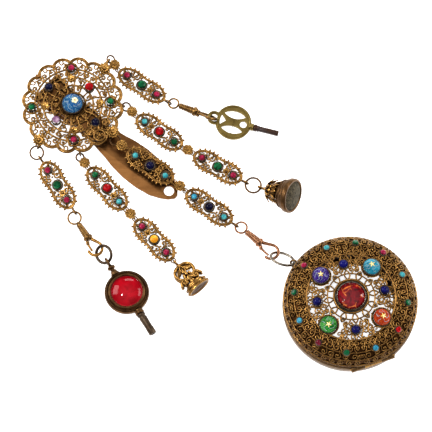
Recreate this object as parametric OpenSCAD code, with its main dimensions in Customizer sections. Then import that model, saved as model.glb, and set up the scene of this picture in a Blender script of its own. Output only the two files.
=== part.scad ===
/* [Brooch] */
// Radius of the pierced plate, out to its rim lobes
brooch_r = 23.1; // [22:0.1:24.5]
// Thickness of the plate
brooch_t = 1.1; // [0.9:0.1:1.5]
// Number of lobes around the rim
rim_lobes = 16; // [12:1:18]
// Radius of one rim lobe
rim_lobe_r = 5; // [4.4:0.1:5.4]
// Radius of the hole in each rim lobe
lobe_hole_r = 1.75; // [1.2:0.05:1.9]
// Girdle radius of the large centre cabochon
centre_gem_r = 4.65; // [4:0.05:5.2]
// Height of a stone setting above the plate
setting_h = 1.2; // [0.8:0.1:1.6]
// Radius of the large twelve petal flowers at the rim
flower_r = 3.1; // [2.4:0.1:3.6]
// Radius of the small gold rosettes
rosette_r = 2.05; // [1.6:0.05:2.2]

/* [Belt hook] */
// Thickness of the folded strip
hook_t = 0.8; // [0.6:0.1:1.2]
// Height of the slot that the belt goes in
belt_gap = 4.2; // [4.1:0.1:5]
// Length of the tongue from the bend to its tip
tongue_l = 76.8; // [70:0.2:80]
// Largest half width of the tongue
tongue_w = 8.7; // [7.5:0.1:9.5]
// Length of the leaf behind the plate
leaf_l = 32; // [26:1:34]
// Half width of the strip at the bend
bend_w = 7.6; // [6:0.1:8.4]
// Radius of the hole near the tip
hook_hole_r = 2.3; // [1.8:0.1:2.6]
// Distance of that hole from the tip
hook_hole_in = 4.3; // [4:0.1:6]

/* [Links] */
// Length of a link's pierced body
link_l = 24.4; // [23:0.1:26]
// Half width of the body at its two widest places, without the spikes
link_w = 4.75; // [4.3:0.05:5.2]
// Half width at the waist
link_waist = 4.1; // [3.8:0.05:4.5]
// Height of the spikes along the edge
spike_h = 0.65; // [0.3:0.05:0.8]
// Number of spikes on each side
spikes = 12; // [8:1:16]
// Thickness of the plate
link_t = 0.8; // [0.6:0.05:0.9]
// Height of the plate above the feet of its settings
link_lift = 0.9; // [0.9:0.05:1.1]
// Girdle radius of the middle stone
mid_gem_r = 1.9; // [1.5:0.05:2.1]
// Girdle radius of the two end stones
end_gem_r = 1.4; // [1.1:0.05:1.6]
// Distance of an end stone from the middle one
gem_step = 8.2; // [7.6:0.1:8.6]

/* [Connectors and rings] */
// Radius of a connector's flower cap
cap_r = 2.6; // [2.2:0.1:2.9]
// Radius of the staple's wire
staple_wire = 0.32; // [0.25:0.01:0.36]
// Outer radius of a link's end eye
eye_r = 1.35; // [1.2:0.05:1.5]
// Radius of the hole in that eye
eye_hole_r = 0.78; // [0.7:0.02:0.85]
// Wire radius of the attachment rings
ring_wire = 0.4; // [0.3:0.02:0.44]
// Mean radius of the upright loops under the rim and at the ends of the links
loop_r = 1.25; // [1.1:0.05:1.4]
// Wire radius of those loops
loop_wire = 0.36; // [0.28:0.02:0.4]

/* [Swivel clips] */
// Radius of a barrel at its swivel end
barrel_r1 = 1.4; // [1.2:0.05:1.6]
// Radius of a barrel at its collar
barrel_r2 = 1.7; // [1.5:0.05:2]
// Wire radius of the hook
hook_wire = 0.65; // [0.5:0.05:0.75]
// Wire radius of the bail
bail_wire = 0.45; // [0.35:0.05:0.5]
// Radius of the gate's pivot pin
gate_pin_r = 0.3; // [0.25:0.01:0.35]
// Radial play of pins in their knuckles
pin_play = 0.05; // [0.03:0.01:0.08]

/* [Keys] */
// Radius of the flat key's bow
bow_r = 8.15; // [7.5:0.05:8.8]
// Thickness of that bow
bow_t = 1.3; // [1:0.1:1.8]
// Length of the flat key from the lobe's middle to the tip
key_a_l = 30; // [28:0.5:33]
// Radius of the stone key's round frame
frame_r = 10; // [9:0.1:11]
// Thickness of that frame
frame_t = 4.4; // [3.6:0.1:5]
// Girdle radius of the red cabochon
red_gem_r = 7.2; // [6:0.1:7.6]
// Length of the stone key from its neck eye to the tip
key_e_l = 38.8; // [38:0.1:43]

/* [Seals] */
// Length of the round seal from its loop to its face
seal_b_l = 17.2; // [15:0.1:18]
// Radius of its face
seal_b_r = 7.9; // [7:0.1:8.4]
// Length of the scroll seal from its loop to its base
seal_d_l = 16.8; // [13:0.1:18]
// Width of its base
seal_d_w = 11.4; // [10:0.1:12.5]
// Depth of its base
seal_d_d = 8; // [6:0.1:9]

/* [Watch case] */
// Outer radius of the lower case
case_r = 29.7; // [28:0.1:32]
// Height of the lower case, up to the seam
case_h = 10; // [8:0.1:11]
// Height of the lid above the seam, without its crown
lid_h = 9.6; // [8.4:0.1:10.4]
// Rise of the lid's crown above its shoulder
lid_rise = 1.7; // [1:0.1:2.4]
// Wall thickness
case_wall = 1.3; // [1:0.1:1.6]
// Radius of the opening in the bottom
bottom_r = 20.5; // [18:0.1:22]
// Length of the hinge
hinge_l = 20; // [16:0.5:22]
// Radius of the hinge's knuckles
knuckle_r = 1.5; // [1.2:0.05:1.7]
// Girdle radius of the red centre stone
lid_gem_r = 6.2; // [5.4:0.1:6.8]
// Girdle radius of the flower cabochons
flower_gem_r = 3.7; // [3:0.1:4]
// Girdle radius of the small dark cabochons
dark_gem_r = 1.9; // [1.5:0.05:2.2]
// Girdle radius of the shoulder stones
shoulder_gem_r = 1.3; // [1:0.05:1.6]
// Mean radius of the plated ring in the pendant eye
bow_ring_r = 5.4; // [5.2:0.1:5.8]
// Wire radius of that ring
bow_ring_wire = 0.6; // [0.45:0.05:0.7]

/* [Clearances] */
// Gap between a stone and its setting, and between soldered stacks
gem_gap = 0.12; // [0.1:0.01:0.2]
// Gap between neighbouring metal pieces
piece_gap = 0.15; // [0.1:0.01:0.2]

/* [Hidden] */
$fn = 48;

// Where things lie on the surface, chosen by hand
brooch_at = [-65.37, 50.24];
hook_heading = -40.8;
hook_side = -1;
hook_back = 13.8;
pendant_angle = 141;
hinge_angle = -70.5;

// Loops under the rim: angle, distance beyond the rim
HANG_ANGLE = 0;
HANG_OUT = 1;
hangers = [[54, 3.6], [-0.5, -0.8], [-40, -0.1], [-81, -0.2], [-127.5, 1.3]];

// Mean radius of each attachment ring, A to E
ring_radii = [1.75, 1.95, 2.3, 1.75, 3];

// Route of each drop: the headings of its steps, from the loop under the rim
heads_a = [47, -57, -57, -33.3, -10];
heads_b = [0, -42.4, -42.4, -34.7, -27, -30.5, -18, -22];
heads_c = [-40, -40, -41, -34.2, -39, -35.3, -24];
heads_d = [-88, -51.4, -51.4, -48, -47.5, -48.3, -48.5];
heads_e = [-111.6, -55, -57.5, -91];

// Spans of the connectors: A0, B0, B1, C0, C1, D0, D1
connector_spans = [5.12, 4.72, 4.9, 5.32, 6.4, 4.72, 5.8];

jump_ring_r = 3.5;
jump_ring_wire = 0.45;
dark_ring_r = 3.9;
dark_ring_wire = 0.66;

// Swivel clips: bail mean radius, barrel length, hook length, hook width, roll, heading
CLIP_BAIL = 0;
CLIP_BARREL = 1;
CLIP_HOOK = 2;
CLIP_WIDTH = 3;
CLIP_ROLL = 4;
CLIP_HEAD = 5;
CLIP_Z0 = 6;
CLIP_Z1 = 7;
clips = [
    [2.3, 7, 9.6, 8, -62, -23.4, 2.4, 4.1],
    [2.6, 7, 9.6, 8, -3, -41.4, 1.6, 3],
    [2.9, 7, 8.6, 7.6, 0, -56.4, 2.2, 2.4]
];

// Shares of the tongue: distance along it, half width
hook_sections = [
    [0, 0.875], [0.1, 0.78], [0.2, 0.68], [0.3, 0.625], [0.4, 0.63], [0.5, 0.76], [0.6, 0.93],
    [0.68, 1], [0.77, 0.98], [0.86, 0.86], [0.93, 0.62], [0.975, 0.36], [1, 0.1]
];

// Derived heights
leaf_z = hook_t + belt_gap;
plate_z = leaf_z + hook_t + piece_gap;
plate_top = plate_z + brooch_t;
seam_z = case_h;
lid_r = case_r - 0.4;
shoulder_r = lid_h - 1.6;
lid_top = seam_z + piece_gap + lid_h;
dome_r = (pow(lid_r - shoulder_r, 2) + pow(lid_rise, 2)) / (2 * lid_rise);

// Derived spans of the chain
eye_reach = 0.95;
loop_reach = 2.6;
rise_reach = 2.4;
post_inset = ring_wire + staple_wire + piece_gap + 0.12;
eye_span = link_l + 2 * eye_reach;
loop_span = link_l + eye_reach + loop_reach;
loops_span = link_l + rise_reach + loop_reach;
loop_z = loop_r + loop_wire + 0.02;
window_lo = 2 * staple_wire + 0.02;
window_hi = link_lift + link_t + 0.35;
ring_z = (window_lo + window_hi) / 2;
rim_loop_z = plate_z + ring_wire - loop_r;
rim_ring_z = rim_loop_z - loop_r + loop_wire + ring_wire + 0.2;

// Points of a route that starts at p and takes one step for each span and heading
function walk(p, spans, heads, i = 0) =
    i == len(spans) ? [p]
    : concat([p], walk(p + spans[i] * [cos(heads[i]), sin(heads[i])], spans, heads, i + 1));

function hanger_at(i) = let (h = hangers[i], r = brooch_r + h[HANG_OUT])
    brooch_at + r * [cos(h[HANG_ANGLE]), sin(h[HANG_ANGLE])];

function ring_steps(i) = [ring_radii[i], ring_radii[i] - post_inset];

route_a = walk(hanger_at(0), concat(ring_steps(0), [connector_spans[0], loop_span, clips[0][CLIP_BAIL]]),
    heads_a);
route_b = walk(hanger_at(1), concat(ring_steps(1),
    [connector_spans[1], eye_span, connector_spans[2], loop_span, jump_ring_r, jump_ring_r]), heads_b);
route_c = walk(hanger_at(2), concat(ring_steps(2),
    [connector_spans[3], eye_span, connector_spans[4], loop_span, clips[1][CLIP_BAIL]]), heads_c);
route_d = walk(hanger_at(3), concat(ring_steps(3),
    [connector_spans[5], eye_span, connector_spans[6], eye_span, (eye_r + eye_hole_r) / 2]), heads_d);
route_e = walk(hanger_at(4), [ring_radii[4], ring_radii[4], loops_span, clips[2][CLIP_BAIL]], heads_e);

// Attachment rings: name, drop's number, centre, heading of the far point, its height
rings = [
    ["ring_a", 0, route_a[1], heads_a[1], 2.8 + ring_z],
    ["ring_b", 1, route_b[1], heads_b[1], 2.6 + ring_z],
    ["ring_c", 2, route_c[1], heads_c[1], 3.2 + ring_z],
    ["ring_d", 3, route_d[1], heads_d[1], 2.6 + ring_z],
    ["ring_e", 4, route_e[1], heads_e[1], 2.2 + loop_z]
];

// Connectors: name, its span's number, first post, second post, heights of its foot at both
connectors = [
    ["connector_a0", 0, route_a[2], route_a[3], 2.8, 2.45],
    ["connector_b0", 1, route_b[2], route_b[3], 2.6, 2.1],
    ["connector_b1", 2, route_b[4], route_b[5], 0, 0],
    ["connector_c0", 3, route_c[2], route_c[3], 3.2, 2.9],
    ["connector_c1", 4, route_c[4], route_c[5], 1.25, 0.65],
    ["connector_d0", 5, route_d[2], route_d[3], 2.6, 2.1],
    ["connector_d1", 6, route_d[4], route_d[5], 0, 0]
];

// Links: name, first end, second end, heights of its foot at both, roll, end shapes, stones
EYE = 0;
LOOP = 1;
link_d2_end = 0.36;
links = [
    ["link_a1", route_a[3], route_a[4], 2.5, 0.8, -8, [EYE, LOOP],
        [["cut", "crimson"], ["cut", "seagreen"], ["cut", "crimson"]]],
    ["link_b1", route_b[3], route_b[4], 2.1, 0, 0, [EYE, EYE],
        [["cab", "turquoise"], ["cut", "firebrick"], ["cut", "seagreen"]]],
    ["link_b2", route_b[5], route_b[6], 0, 0, 0, [EYE, LOOP],
        [["cut", "crimson"], ["cut", "seagreen"], ["cut", "crimson"]]],
    ["link_c1", route_c[3], route_c[4], 2.9, 1.25, 0, [EYE, EYE],
        [["cab", "turquoise"], ["cab", "midnightblue"], ["cab", "turquoise"]]],
    ["link_c2", route_c[5], route_c[6], 0.65, 0, 0, [EYE, LOOP],
        [["cab", "turquoise"], ["cab", "midnightblue"], ["cab", "turquoise"]]],
    ["link_d1", route_d[3], route_d[4], 2.1, 0, 0, [EYE, EYE],
        [["cut", "seagreen"], ["cut", "firebrick"], ["cab", "turquoise"]]],
    ["link_d2", route_d[5], route_d[6], 0, link_d2_end, 0, [EYE, EYE],
        [["cut", "crimson"], ["cut", "goldenrod"], ["cut", "crimson"]]],
    ["link_e1", route_e[2], route_e[3], 2.2, 0.6, 18, [LOOP, LOOP],
        [["cut", "crimson"], ["cut", "seagreen"], ["cut", "crimson"]]]
];

clip_names = ["clip_a", "clip_c", "clip_e"];
clip_at = [route_a[5], route_c[7], route_e[4]];

// The far end of a clip's hook, and the steps from there to what hangs in it: length, heading
function clip_tip(i) = let (c = clips[i], l = clip_arc_x(c) + clip_arc_r(c))
    clip_at[i] + l * [cos(c[CLIP_HEAD]), sin(c[CLIP_HEAD])];

function step(p, s) = p + s[0] * [cos(s[1]), sin(s[1])];

hung_key_a = [1.417, 112.8];
hung_bow_ring = [2.984, -30.97];
hung_dark_ring = [2.162, -6.1];
ring_to_key_e = [0.036, -63.4];
ring_to_pendant = [0.05, -23.03];

// Small stones of the brooch: angle, share of the plate's radius, girdle radius, kind, colour
brooch_gems = [
    [92.6, 0.753, 1.45, "cut", "crimson"], [3.6, 0.744, 1.5, "cut", "seagreen"],
    [-86.9, 0.744, 1.45, "cut", "crimson"], [184.8, 0.8, 1.5, "cut", "seagreen"],
    [143, 0.592, 1.75, "cab", "midnightblue"], [47, 0.475, 1.9, "cut", "firebrick"],
    [-133, 0.457, 1.75, "cut", "plum"], [-40, 0.592, 1.85, "cab", "midnightblue"]
];
brooch_turn = 4;
lobe_turn = 15.25;
rosette_share = 0.54;
flower_angles = [50.7, -131.2, -35.2];
flower_share = 0.985;

// Shares of a stone's girdle radius: ring radius, height
cut_rings = [[0.25, 0], [1, 0.7], [1, 0.82], [0.6, 1.22]];
cab_side = 0.35;
cab_dome = 0.62;
seat_z = 0.3;
claw_h = 0.35;
setting_wall = 0.45;

// A wire ring of mean radius r in the XY plane
module wire_ring(r, wire) {
    rotate_extrude()
        translate([r, 0])
            circle(r = wire);
}

// A round bar of radius r along +X, from x = 0
module bar_x(r, l) {
    rotate([0, 90, 0])
        cylinder(r = r, h = l);
}

// A round hole that runs out into a point at x = l
module teardrop(r, l) {
    polygon(concat([for (a = [60:30:300]) r * [cos(a), sin(a)]], [[l, 0]]));
}

// A faceted stone with a flat table, its culet at z = 0
module cut_stone(r, n = 8, tall = 1) {
    last = len(cut_rings) - 1;
    points = [for (ring = cut_rings, i = [0:n - 1])
        [r * ring[0] * cos(i * 360 / n), r * ring[0] * sin(i * 360 / n), r * ring[1] * tall]];
    sides = [for (k = [0:last - 1], i = [0:n - 1])
        let (j = (i + 1) % n)
        [k * n + i, (k + 1) * n + i, (k + 1) * n + j, k * n + j]];
    polyhedron(points, concat([[for (i = [0:n - 1]) i]], sides,
        [[for (i = [n - 1:-1:0]) last * n + i]]));
}

// A domed stone on a short upright girdle
module cab_stone(r) {
    rise = r * cab_dome;
    ball = (r * r + rise * rise) / (2 * rise);
    intersection() {
        cylinder(r = r, h = r * cab_side + rise);
        translate([0, 0, r * cab_side + rise - ball])
            sphere(r = ball);
    }
}

module gem(r, kind) {
    if (kind == "cut")
        cut_stone(r);
    else
        cab_stone(r);
}

// A ring wall around a stone of girdle radius r, its top notched into four claws
module setting(r, h, base = 0) {
    bore = r + gem_gap;
    difference() {
        cylinder(r = bore + setting_wall, h = h + claw_h);
        translate([0, 0, base])
            cylinder(r = bore, h = h + 1);
        for (a = [0, 90])
            rotate([0, 0, a])
                translate([-bore - 1, -0.6 * bore, h])
                    cube([2 * bore + 2, 1.2 * bore, 1]);
    }
}

// A flat flower of n petals with a domed centre
module flower(r, n, h) {
    petal = 0.8 * r * sin(180 / n) / (1 - sin(180 / n) * 0.2);
    for (i = [0:n - 1])
        rotate([0, 0, i * 360 / n])
            translate([r - petal, 0, 0])
                cylinder(r = petal, h = h);
    cylinder(r = r - petal, h = h * 0.7);
    translate([0, 0, h * 0.7])
        intersection() {
            sphere(r = r * 0.36);
            cylinder(r = r, h = r);
        }
}

// Puts children on the line from p to q, with heights z0 and z1, rolled about an axis at height h
module along(p, q, z0, z1, roll = 0, h = 0) {
    d = q - p;
    translate([p[0], p[1], z0])
        rotate([0, atan2(z0 - z1, norm(d)), atan2(d[1], d[0])])
            translate([0, 0, h])
                rotate([roll, 0, 0])
                    translate([0, 0, -h])
                        children();
}

// Puts children on the brooch at an angle and distance from its middle
module on_brooch(angle, r, z) {
    translate([brooch_at[0], brooch_at[1], z])
        rotate([0, 0, angle])
            translate([r, 0, 0])
                children();
}

// The outline of the pierced plate, with its rim lobes
module brooch_outline() {
    for (i = [0:rim_lobes - 1])
        rotate(lobe_turn + i * 360 / rim_lobes)
            translate([brooch_r - rim_lobe_r, 0])
                circle(r = rim_lobe_r);
    circle(r = brooch_r - 0.8 * rim_lobe_r);
}

// The gaps between its scrolls
module brooch_gaps() {
    for (i = [0:rim_lobes - 1])
        rotate(lobe_turn + i * 360 / rim_lobes) {
            translate([brooch_r - 0.65 - lobe_hole_r, 0])
                circle(r = lobe_hole_r);
            rotate(180 / rim_lobes)
                translate([0.71 * brooch_r, 0])
                    rotate(180)
                        teardrop(1.15, 2.7);
        }
    for (i = [0:7])
        rotate(brooch_turn + 22.5 + i * 45)
            translate([0.5 * brooch_r, 0])
                rotate(180)
                    teardrop(1.7, 4.2);
}

// A loop under the rim for an attachment ring, on a short bar
module rim_loop(angle, out) {
    reach = max(out, 0) + 2;
    on_brooch(angle, brooch_r + out, rim_loop_z)
        rotate([90, 0, 0])
            wire_ring(loop_r, loop_wire);
    on_brooch(angle, brooch_r + out - reach, plate_z + ring_wire)
        bar_x(loop_wire + 0.1, reach + 0.2);
}

module brooch_plate() {
    color("darkgoldenrod") {
        translate([brooch_at[0], brooch_at[1], plate_z])
            linear_extrude(brooch_t)
                difference() {
                    brooch_outline();
                    brooch_gaps();
                }
        for (g = brooch_gems)
            on_brooch(g[0], g[1] * brooch_r, plate_z)
                setting(g[2], brooch_t + setting_h, brooch_t + seat_z);
        on_brooch(0, 0, plate_z)
            setting(centre_gem_r, brooch_t + setting_h, brooch_t + seat_z);
        for (i = [0:3])
            on_brooch(brooch_turn + 90 * i, rosette_share * brooch_r, plate_z)
                flower(rosette_r, 7, brooch_t + 0.6);
        for (a = flower_angles)
            on_brooch(a, flower_share * brooch_r, plate_z)
                flower(flower_r, 12, brooch_t + 0.7);
        for (h = hangers)
            rim_loop(h[HANG_ANGLE], h[HANG_OUT]);
    }
}

module brooch_centre_stone() {
    color("steelblue")
        on_brooch(0, 0, plate_top + seat_z + gem_gap)
            cab_stone(centre_gem_r);
}

module brooch_stones() {
    for (g = brooch_gems)
        color(g[4])
            on_brooch(g[0], g[1] * brooch_r, plate_top + seat_z + gem_gap)
                gem(g[2], g[3]);
}

// Half width of the tongue at a share of its length, smoothed between the sections
function tongue_half(s, i = 0) =
    i >= len(hook_sections) - 2 || s <= hook_sections[i + 1][0]
    ? let (a = hook_sections[i], b = hook_sections[i + 1], u = (s - a[0]) / (b[0] - a[0]),
        e = (1 - cos(180 * u)) / 2 * 0.5 + u * 0.5)
        tongue_w * (a[1] + e * (b[1] - a[1]))
    : tongue_half(s, i + 1);

tongue_steps = 40;

module tongue_outline() {
    steps = [for (i = [0:tongue_steps]) i / tongue_steps];
    polygon(concat(
        [for (s = steps) [s * tongue_l, tongue_half(s)]],
        [for (i = [tongue_steps:-1:0]) [steps[i] * tongue_l, -tongue_half(steps[i])]]));
}

// The strip, with its bend at x = 0 and its tongue along +X
module belt_hook() {
    bend_r = leaf_z / 2 + hook_t / 2;
    color("peru")
        translate([brooch_at[0], brooch_at[1], 0])
            rotate([0, 0, hook_heading])
                translate([-hook_back, hook_side, 0]) {
                    difference() {
                        linear_extrude(hook_t)
                            tongue_outline();
                        translate([tongue_l - hook_hole_in, 0, -1])
                            cylinder(r = hook_hole_r, h = hook_t + 2);
                    }
                    translate([0, bend_w, bend_r])
                        rotate([90, 0, 0])
                            linear_extrude(2 * bend_w)
                                difference() {
                                    circle(r = bend_r);
                                    circle(r = bend_r - hook_t);
                                    translate([0, -2 * bend_r])
                                        square([2 * bend_r, 4 * bend_r]);
                                }
                    translate([0, 0, leaf_z])
                        linear_extrude(hook_t)
                            polygon([[0, -bend_w], [leaf_l * 0.4, -bend_w * 0.75], [leaf_l, -bend_w * 0.66],
                                [leaf_l, bend_w * 0.66], [leaf_l * 0.4, bend_w * 0.75], [0, bend_w]]);
                }
}

// An attachment ring, from its hanger down to its far point
module attachment_ring(r) {
    centre = r[2];
    mean = ring_radii[r[1]];
    chord = centre + mean * [cos(r[3]), sin(r[3])] - hanger_at(r[1]);
    color("sienna")
        translate([centre[0], centre[1], (rim_ring_z + r[4]) / 2])
            rotate([0, asin((rim_ring_z - r[4]) / norm(chord)), atan2(chord[1], chord[0])])
                wire_ring(mean, ring_wire);
}

// A flower cap on an oval staple whose posts stand at x = 0 and x = span
module connector(span) {
    top_z = window_hi + staple_wire;
    low_z = window_lo - staple_wire;
    for (x = [0, span])
        translate([x, 0, 0]) {
            translate([0, 0, low_z])
                cylinder(r = staple_wire, h = top_z - low_z);
            for (z = [low_z, top_z])
                translate([0, 0, z])
                    sphere(r = staple_wire);
        }
    for (z = [low_z, top_z])
        translate([0, 0, z])
            bar_x(staple_wire, span);
    translate([span / 2, 0, window_hi + piece_gap])
        flower(cap_r, 8, 0.8);
}

// Half width of a link's body at a distance x from its middle
function link_half(x) =
    let (bulge = 0.4 * link_l / 2, tail = link_l / 2 - bulge, d = abs(x))
    d < bulge
    ? link_waist + (link_w - link_waist) * (1 - cos(180 * d / bulge)) / 2
    : link_w * sqrt(max(1 - pow((d - bulge) / tail, 2), 0));

// The outline of a link, with a row of spikes along each edge
module link_outline() {
    pitch = link_l * 0.9 / spikes;
    edge = [for (i = [0:spikes]) -0.45 * link_l + i * pitch];
    upper = concat(
        [[-link_l / 2, 0.9]],
        [for (i = [0:spikes], k = [0, 1])
            if (k == 0) [edge[i], link_half(edge[i])]
            else if (i < spikes) let (x = edge[i] + pitch / 2)
                [x * 1.03, link_half(x) + spike_h]],
        [[link_l / 2, 0.9]]);
    solid = [for (p = upper) if (p != undef) p];
    polygon(concat(solid, [for (i = [len(solid) - 1:-1:0]) [solid[i][0], -solid[i][1]]]));
}

// The gaps of a link: two lens shaped ones along each edge, and two round ones between the stones
module link_gaps() {
    for (side = [-1, 1], end = [-1, 1])
        translate([end * 0.235 * link_l, side * 0.6 * link_w])
            rotate(end * side * -8)
                lens(0.3 * link_l, 0.36 * link_w);
    for (end = [-1, 1])
        translate([end * gem_step / 2, 0])
            circle(r = 0.28 * link_w);
}

// A lens of length l and width w, its points along X
module lens(l, w) {
    r = (l * l / 4 + w * w / 4) / w;
    half = asin(l / 2 / r);
    polygon(concat(
        [for (i = [-4:3]) [r * sin(half * i / 4), r * cos(half * i / 4) - r + w / 2]],
        [for (i = [4:-1:-3]) [r * sin(half * i / 4), -r * cos(half * i / 4) + r - w / 2]]));
}

module link_eye(x) {
    translate([x, 0, link_lift])
        cylinder(r = eye_r, h = link_t);
}

// An upright loop at the end of a link, with a short bar to the plate
module link_loop(x, tip) {
    translate([x, 0, loop_z])
        rotate([90, 0, 0])
            wire_ring(loop_r, loop_wire);
    reach = abs(x - tip) - loop_r + 1;
    translate([x > tip ? tip - 1 : x + loop_r, 0, link_lift + link_t / 2])
        bar_x(loop_wire, reach);
}

// A link with its first end hole at x = 0
module link(l) {
    first = l[6][0];
    last = l[6][1];
    mid = link_l / 2 + (first == EYE ? eye_reach : rise_reach);
    difference() {
        union() {
            translate([mid, 0, link_lift])
                linear_extrude(link_t)
                    difference() {
                        link_outline();
                        link_gaps();
                    }
            if (first == EYE)
                link_eye(mid - link_l / 2 - eye_reach);
            if (last == EYE)
                link_eye(mid + link_l / 2 + eye_reach);
            for (k = [-1:1])
                translate([mid + k * gem_step, 0, 0])
                    cylinder(r = gem_radius(k) + gem_gap + setting_wall, h = link_lift + seat_z);
        }
        if (first == EYE)
            translate([mid - link_l / 2 - eye_reach, 0, 0])
                cylinder(r = eye_hole_r, h = 5);
        if (last == EYE)
            translate([mid + link_l / 2 + eye_reach, 0, 0])
                cylinder(r = eye_hole_r, h = 5);
        for (k = [-1:1])
            translate([mid + k * gem_step, 0, link_lift + seat_z - 0.1])
                cylinder(r = gem_radius(k) + gem_gap, h = 3);
    }
    for (k = [-1:1])
        translate([mid + k * gem_step, 0, link_lift + seat_z - 0.3])
            rotate([0, 0, 45])
                setting(gem_radius(k), link_t + 0.8, 0.2);
    if (first == LOOP)
        link_loop(mid - link_l / 2 - rise_reach, mid - link_l / 2);
    if (last == LOOP)
        link_loop(mid + link_l / 2 + loop_reach, mid + link_l / 2);
}

function gem_radius(k) = k == 0 ? mid_gem_r : end_gem_r;

module link_stones(l) {
    mid = link_l / 2 + (l[6][0] == EYE ? eye_reach : rise_reach);
    for (k = [-1:1])
        color(l[7][k + 1][1])
            translate([mid + k * gem_step, 0, link_lift + seat_z + gem_gap])
                gem(gem_radius(k), l[7][k + 1][0]);
}

// Places along a clip, from the middle of its bail
function clip_barrel_x(c) = c[CLIP_BAIL] + bail_wire + 0.25;
function clip_collar_x(c) = clip_barrel_x(c) + c[CLIP_BARREL];
collar_l = 1.8;
collar_r = 2.1;
function clip_hook_x(c) = clip_collar_x(c) + collar_l;
function clip_arc_r(c) = c[CLIP_WIDTH] / 2 - hook_wire;
function clip_arc_x(c) = clip_hook_x(c) + c[CLIP_HOOK] - hook_wire - clip_arc_r(c);
arm_y = 1.1;
gate_y = 1.5;
gate_wire = 0.5;
nose_gap = 26;
function arm_angle(c) = let (d = clip_arc_x(c) - clip_hook_x(c))
    asin(clip_arc_r(c) / norm([d, arm_y])) - atan2(arm_y, d);
nose_angle = 100;

module on_clip(i) {
    c = clips[i];
    l = clip_arc_x(c) + clip_arc_r(c);
    translate([clip_at[i][0], clip_at[i][1], c[CLIP_Z0]])
        rotate([0, atan2(c[CLIP_Z0] - c[CLIP_Z1], l), c[CLIP_HEAD]])
            children();
}

// The bail: a ring with a headed stem that turns in the barrel
module clip_bail(i) {
    c = clips[i];
    stem_x = c[CLIP_BAIL];
    color("goldenrod")
        on_clip(i) {
            wire_ring(c[CLIP_BAIL], bail_wire);
            translate([stem_x, 0, 0])
                bar_x(0.4, 2.6);
            translate([stem_x + 2.1, 0, 0])
                bar_x(0.8, 0.6);
        }
}

// The barrel, its collar and the fixed arm of the hook, with the fork for the gate
module clip_hook(i) {
    c = clips[i];
    x0 = clip_barrel_x(c);
    x1 = clip_collar_x(c);
    x2 = clip_hook_x(c);
    arc_x = clip_arc_x(c);
    arc_r = clip_arc_r(c);
    lean = arm_angle(c);
    arm_l = norm([arc_x - arc_r * sin(lean) - x2, arc_r * cos(lean) - arm_y]);
    ribs = 6;
    color("rosybrown")
        on_clip(i)
            rotate([c[CLIP_ROLL], 0, 0]) {
                difference() {
                    union() {
                        translate([x0, 0, 0])
                            rotate([0, 90, 0])
                                cylinder(r1 = barrel_r1 - 0.15, r2 = barrel_r2 - 0.15, h = x1 - x0);
                        for (k = [0:ribs - 1])
                            translate([x0 + (k + 0.3) * (x1 - x0) / ribs, 0, 0])
                                bar_x(barrel_r1 + (barrel_r2 - barrel_r1) * k / ribs + 0.05,
                                    0.5 * (x1 - x0) / ribs);
                        translate([x1, 0, 0])
                            bar_x(collar_r, collar_l * 0.6);
                        translate([x1 + collar_l * 0.6, 0, 0])
                            bar_x(collar_r * 0.8, collar_l * 0.4);
                        gate_fork(c);
                    }
                    translate([x0 - 1, 0, 0])
                        bar_x(0.52, 2.8);
                    translate([stem_head_x(c) - 0.15, 0, 0])
                        bar_x(0.92, 0.9);
                    gate_slot(c);
                }
                translate([x2, arm_y, 0])
                    rotate([0, 0, lean]) {
                        translate([-0.6, 0, 0])
                            bar_x(hook_wire, arm_l + 0.5);
                        translate([arm_l, 0, 0])
                            sphere(r = bead_r);
                    }
                translate([arc_x, 0, 0])
                    rotate([0, 0, -nose_angle]) {
                        rotate_extrude(angle = nose_angle + 88 + lean)
                            translate([arc_r, 0])
                                circle(r = hook_wire);
                        translate([arc_r, 0, 0])
                            sphere(r = bead_r);
                    }
                translate([x2 + 0.9, -gate_y, -1.3])
                    cylinder(r = gate_pin_r, h = 2.6);
            }
}

function stem_head_x(c) = c[CLIP_BAIL] + 2.1;
bead_r = hook_wire + 0.12;
gate_boss_r = 0.8;

// Two cheeks that carry the gate's pin
module gate_fork(c) {
    translate([clip_hook_x(c) - 1, -gate_y, -1.4])
        cube([1.9, 0.01 + gate_boss_r * 0.9, 2.8]);
    translate([clip_hook_x(c) + 0.9, -gate_y, -1.4])
        cylinder(r = gate_boss_r, h = 2.8);
    translate([clip_hook_x(c) - 1, -gate_y - gate_boss_r, -1.4])
        cube([1.9, 2 * gate_boss_r, 2.8]);
}

// The slot between the cheeks, with room for the gate's boss and its inward swing
module gate_slot(c) {
    translate([clip_hook_x(c) + 0.9, -gate_y, -gate_half - piece_gap])
        cylinder(r = gate_boss_r + piece_gap, h = 2 * (gate_half + piece_gap));
    translate([clip_hook_x(c) + 0.9, -gate_y - gate_boss_r - 0.5, -gate_half - piece_gap])
        cube([3, 2 * gate_boss_r + 1, 2 * (gate_half + piece_gap)]);
}
gate_half = 0.62;

// The gate's line, from its pivot to the nose
function gate_pivot(c) = [clip_hook_x(c) + 0.9, -gate_y];
function gate_tip(c) = let (r = clip_arc_r(c) - bead_r - gate_wire - piece_gap)
    [clip_arc_x(c) + r * cos(-nose_angle + 4), r * sin(-nose_angle + 4)];

module clip_gate(i) {
    c = clips[i];
    p = gate_pivot(c);
    d = gate_tip(c) - p;
    color("peru")
        on_clip(i)
            rotate([c[CLIP_ROLL], 0, 0])
                difference() {
                    union() {
                        translate([p[0], p[1], -gate_half])
                            cylinder(r = gate_boss_r, h = 2 * gate_half);
                        translate([p[0], p[1], 0])
                            rotate([0, 0, atan2(d[1], d[0])]) {
                                bar_x(gate_wire, norm(d));
                                translate([norm(d), 0, 0])
                                    sphere(r = gate_wire);
                            }
                    }
                    translate([p[0], p[1], -2])
                        cylinder(r = gate_pin_r + pin_play, h = 4);
                }
}

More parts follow.
